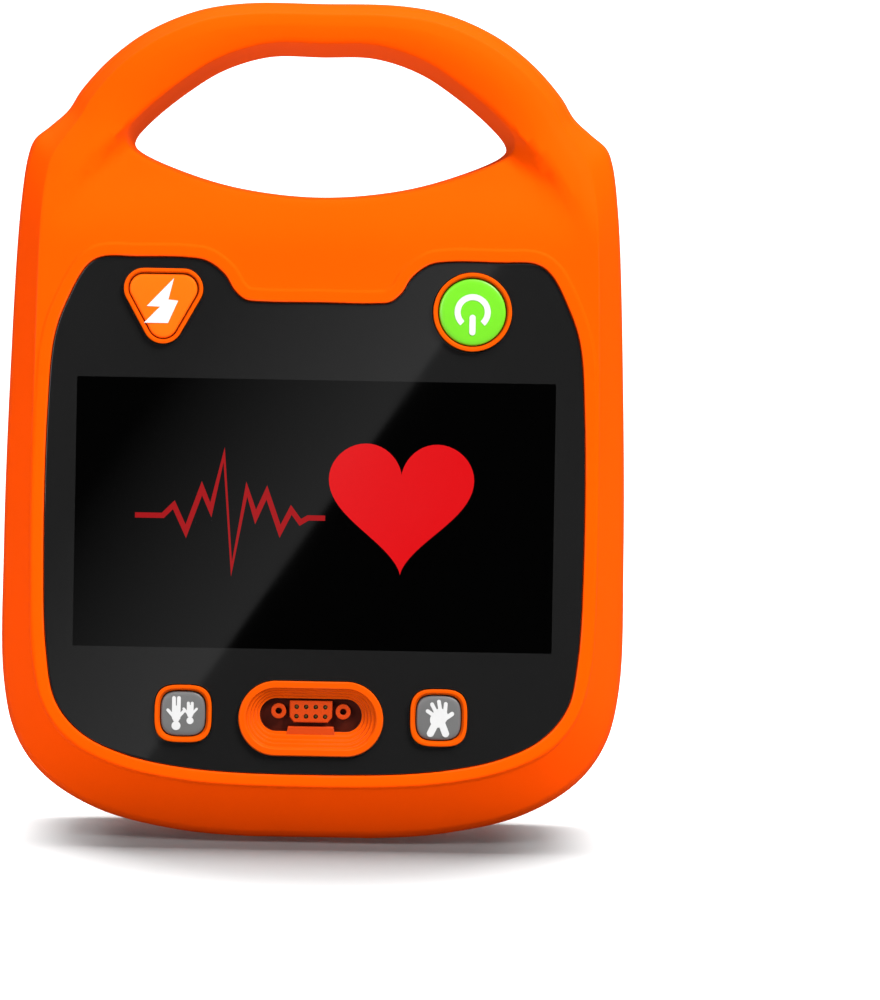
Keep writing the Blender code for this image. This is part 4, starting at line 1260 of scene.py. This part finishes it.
def stage():
    """A sheet of paper that lies under the object and curves up behind it."""
    bm = bmesh.new()
    path = [(SHEET_FRONT, 0), (SHEET_BEND, 0)]
    for k in range(1, 13):
        angle = math.pi / 2 * k / 12
        along, up = math.sin(angle), 1 - math.cos(angle)
        path.append((SHEET_BEND + SHEET_CURVE * along, SHEET_CURVE * up))
    path.append((SHEET_BEND + SHEET_CURVE, SHEET_TOP))
    rows = [[bm.verts.new((x, y, z)) for y, z in path] for x in (-SHEET_HALF, SHEET_HALF)]
    for k in range(len(path) - 1):
        bm.faces.new((rows[0][k], rows[1][k], rows[1][k + 1], rows[0][k + 1]))
    mesh = bpy.data.meshes.new("floor")
    bm.to_mesh(mesh)
    bm.free()
    mesh.shade_smooth()
    floor = bpy.data.objects.new("floor", mesh)
    bpy.context.scene.collection.objects.link(floor)
    mesh.materials.append(floor_paper())
    floor.visible_glossy = False


def keep_shadow_grey():
    """Stops the big orange shells from tinting the floor's shadow."""
    for name in ("front_shell", "rear_shell"):
        bpy.data.objects[name].visible_diffuse = False


GLOW_REACH = (0.09, 0.21)  # metres from the middle where the glow starts and where it is full
GLOW_SHAPE = (1.6, 1.0, 1.0)  # how much sooner it is reached along each axis
GLOW_LEVEL = 1.0
GLOW_ON_OBJECT = 0.18  # the share of the glow that lights the object


def floor_paper():
    """White paper that glows away from the object, so that it stays white out to its edges. The glow is
    painted light: it is left out near the object, and its reach and shape set where the shadow round the
    object ends.
    """
    made = Nodes("floor_paper")
    grain = made.noise(400.0)
    made.link(made.mix(grain, (0.91, 0.91, 0.91), (0.95, 0.95, 0.95)), made.shader.inputs["Base Color"])
    made.link(made.spread(grain, 0.3, 0.7, 0.85, 0.95), made.shader.inputs["Roughness"])
    length = made.tree.nodes.new("ShaderNodeVectorMath")
    length.operation = "LENGTH"
    scale = made.tree.nodes.new("ShaderNodeMapping")
    scale.inputs["Scale"].default_value = GLOW_SHAPE
    made.link(made.place, scale.inputs["Vector"])
    made.link(scale.outputs["Vector"], length.inputs[0])
    # Painted light: the glow fades in over GLOW_REACH round the object, which gives the outer edge of its
    # shadow.
    glow = made.spread(length.outputs["Value"], *GLOW_REACH, 0.0, GLOW_LEVEL)
    glow.node.interpolation_type = "SMOOTHSTEP"
    path = made.tree.nodes.new("ShaderNodeLightPath")
    seen = made.spread(path.outputs["Is Camera Ray"], 0.0, 1.0, GLOW_ON_OBJECT, 1.0)
    made.link(made.math("MULTIPLY", glow, seen), made.shader.inputs["Emission Strength"])
    made.shader.inputs["Emission Color"].default_value = (1, 1, 1, 1)
    made.bump(grain, 0.01)
    return made.material


def area_light(name, place, aim, size, power):
    data = bpy.data.lights.new(name, "AREA")
    data.shape = "RECTANGLE"
    data.size, data.size_y = size
    data.energy = power
    light = bpy.data.objects.new(name, data)
    light.location = place
    light.rotation_euler = (Vector(aim) - Vector(place)).to_track_quat("-Z", "Y").to_euler()
    light.visible_camera = False
    bpy.context.scene.collection.objects.link(light)
    return light


def light_only(light, pieces):
    """Makes a light reach these pieces only."""
    reached = bpy.data.collections.new(light.name)
    for piece in pieces:
        reached.objects.link(piece)
    light.light_linking.receiver_collection = reached


def lights():
    """Soft lights: one above for everything, one for the floor, one for the front shell's chin, and four in
    front that light the object only."""
    pieces = bpy.context.scene.objects
    shown = [piece for piece in pieces if piece.type == "MESH" and piece.name != "floor"]
    area_light("top_light", (0.0, 0.3, 1.9), (0, 0.3, 0), (2.6, 0.75), 46)
    front = (
        area_light("key_light", (1.0, -1.1, 1.4), BODY_CENTRE, (0.7, 0.7), 55),
        area_light("fill_light", (-0.9, -1.4, 0.5), BODY_CENTRE, (0.7, 0.9), 12),
        area_light("sky_light", (0.1, -0.9, 2.0), BODY_CENTRE, (1.2, 0.6), 25),
        card(),
    )
    for light in front:
        light_only(light, shown)
    low = area_light("floor_light", (0.0, -1.5, 1.2), (0, 0, 0), (1.6, 0.8), 8)
    light_only(low, [pieces["floor"]])
    chin = area_light("chin_light", (0, -0.26, 0.012), (0, -0.03, 0.03), (0.3, 0.05), 0.19)
    light_only(chin, [pieces["front_shell"]])


def world():
    """White where the camera sees it, and nearly dark for everything else."""
    made = bpy.data.worlds.new("studio")
    bpy.context.scene.world = made
    made.use_nodes = True
    tree = made.node_tree
    back = tree.nodes["Background"]
    path = tree.nodes.new("ShaderNodeLightPath")
    level = tree.nodes.new("ShaderNodeMapRange")
    level.inputs["To Min"].default_value = WORLD_LEVEL
    level.inputs["To Max"].default_value = 1.0
    tree.links.new(path.outputs["Is Camera Ray"], level.inputs["Value"])
    tree.links.new(level.outputs["Result"], back.inputs["Strength"])
    back.inputs["Color"].default_value = (1, 1, 1, 1)


BODY_CENTRE = (0, 0, 0.14)
WORLD_LEVEL = 0.012
# The dim box in front: its place, size and brightness
CARD_Y = -1.5
CARD_LONG = 1.4
CARD_WIDE = 0.165
CARD_LEVEL = 0.47


def card():
    """A dim soft box in front, whose slanted edge shows across the window. It fades away from that edge."""
    camera_z = CAMERA_PLACE[2]
    reach = 1 + (CARD_Y / MM - PANEL_FRONT) / (CAMERA_PLACE[1] / MM - PANEL_FRONT)
    first, last = ((x * reach, camera_z / MM + (z - camera_z / MM) * reach) for x, z in GLARE_EDGE)
    along = Vector((last[0] - first[0], 0, last[1] - first[1])).normalized()
    away = Vector((-along.z, 0, along.x))
    middle = Vector(((first[0] + last[0]) / 2, 0, (first[1] + last[1]) / 2)) * MM
    place = middle + away * CARD_WIDE / 2
    power = CARD_LEVEL * math.pi * CARD_LONG * CARD_WIDE
    spot = (place.x, CARD_Y, place.z)
    light = area_light("card_light", spot, (place.x, 0, place.z), (CARD_LONG, CARD_WIDE), power)
    facing = Matrix((along, away, along.cross(away))).transposed()
    light.rotation_euler = facing.to_euler()
    fade_light(light.data)
    return light


def fade_light(data):
    """Makes an area light brightest along one long edge and dark along the other."""
    data.use_nodes = True
    tree = data.node_tree
    emission = tree.nodes["Emission"]
    geometry = tree.nodes.new("ShaderNodeNewGeometry")
    parts = tree.nodes.new("ShaderNodeSeparateXYZ")
    tree.links.new(geometry.outputs["Parametric"], parts.inputs[0])
    fade = tree.nodes.new("ShaderNodeMapRange")
    fade.inputs["To Min"].default_value = 1.0
    fade.inputs["To Max"].default_value = 0.0
    tree.links.new(parts.outputs["Y"], fade.inputs["Value"])
    tree.links.new(fade.outputs["Result"], emission.inputs["Strength"])


GLARE_EDGE = ((-30.1, 61.4), (57.3, 189.1))  # two points of the reflection's edge on the window
CAMERA_PLACE = (0.0, -1.0384, 0.139)
CAMERA_LENS = 111.3
CAMERA_SHIFT = (0.124, -0.08)
CAMERA_ROLL = math.radians(1.0)


def camera():
    data = bpy.data.cameras.new("camera")
    data.sensor_fit = "VERTICAL"
    data.sensor_height = 36
    data.lens = CAMERA_LENS
    data.shift_x, data.shift_y = CAMERA_SHIFT
    made = bpy.data.objects.new("camera", data)
    made.location = CAMERA_PLACE
    upright = Euler((math.pi / 2, 0, 0)).to_matrix()
    made.rotation_euler = (upright @ Euler((0, 0, CAMERA_ROLL)).to_matrix()).to_euler()
    bpy.context.scene.collection.objects.link(made)
    bpy.context.scene.camera = made


front_shell()
rear_shell()
window()
screen_picture()
keys()
icons()
socket()
feet()
screw_heads()
battery()
latch()
dress_nodes()
stage()
keep_shadow_grey()
lights()
world()
camera()
bpy.context.scene.view_settings.view_transform = "Standard"
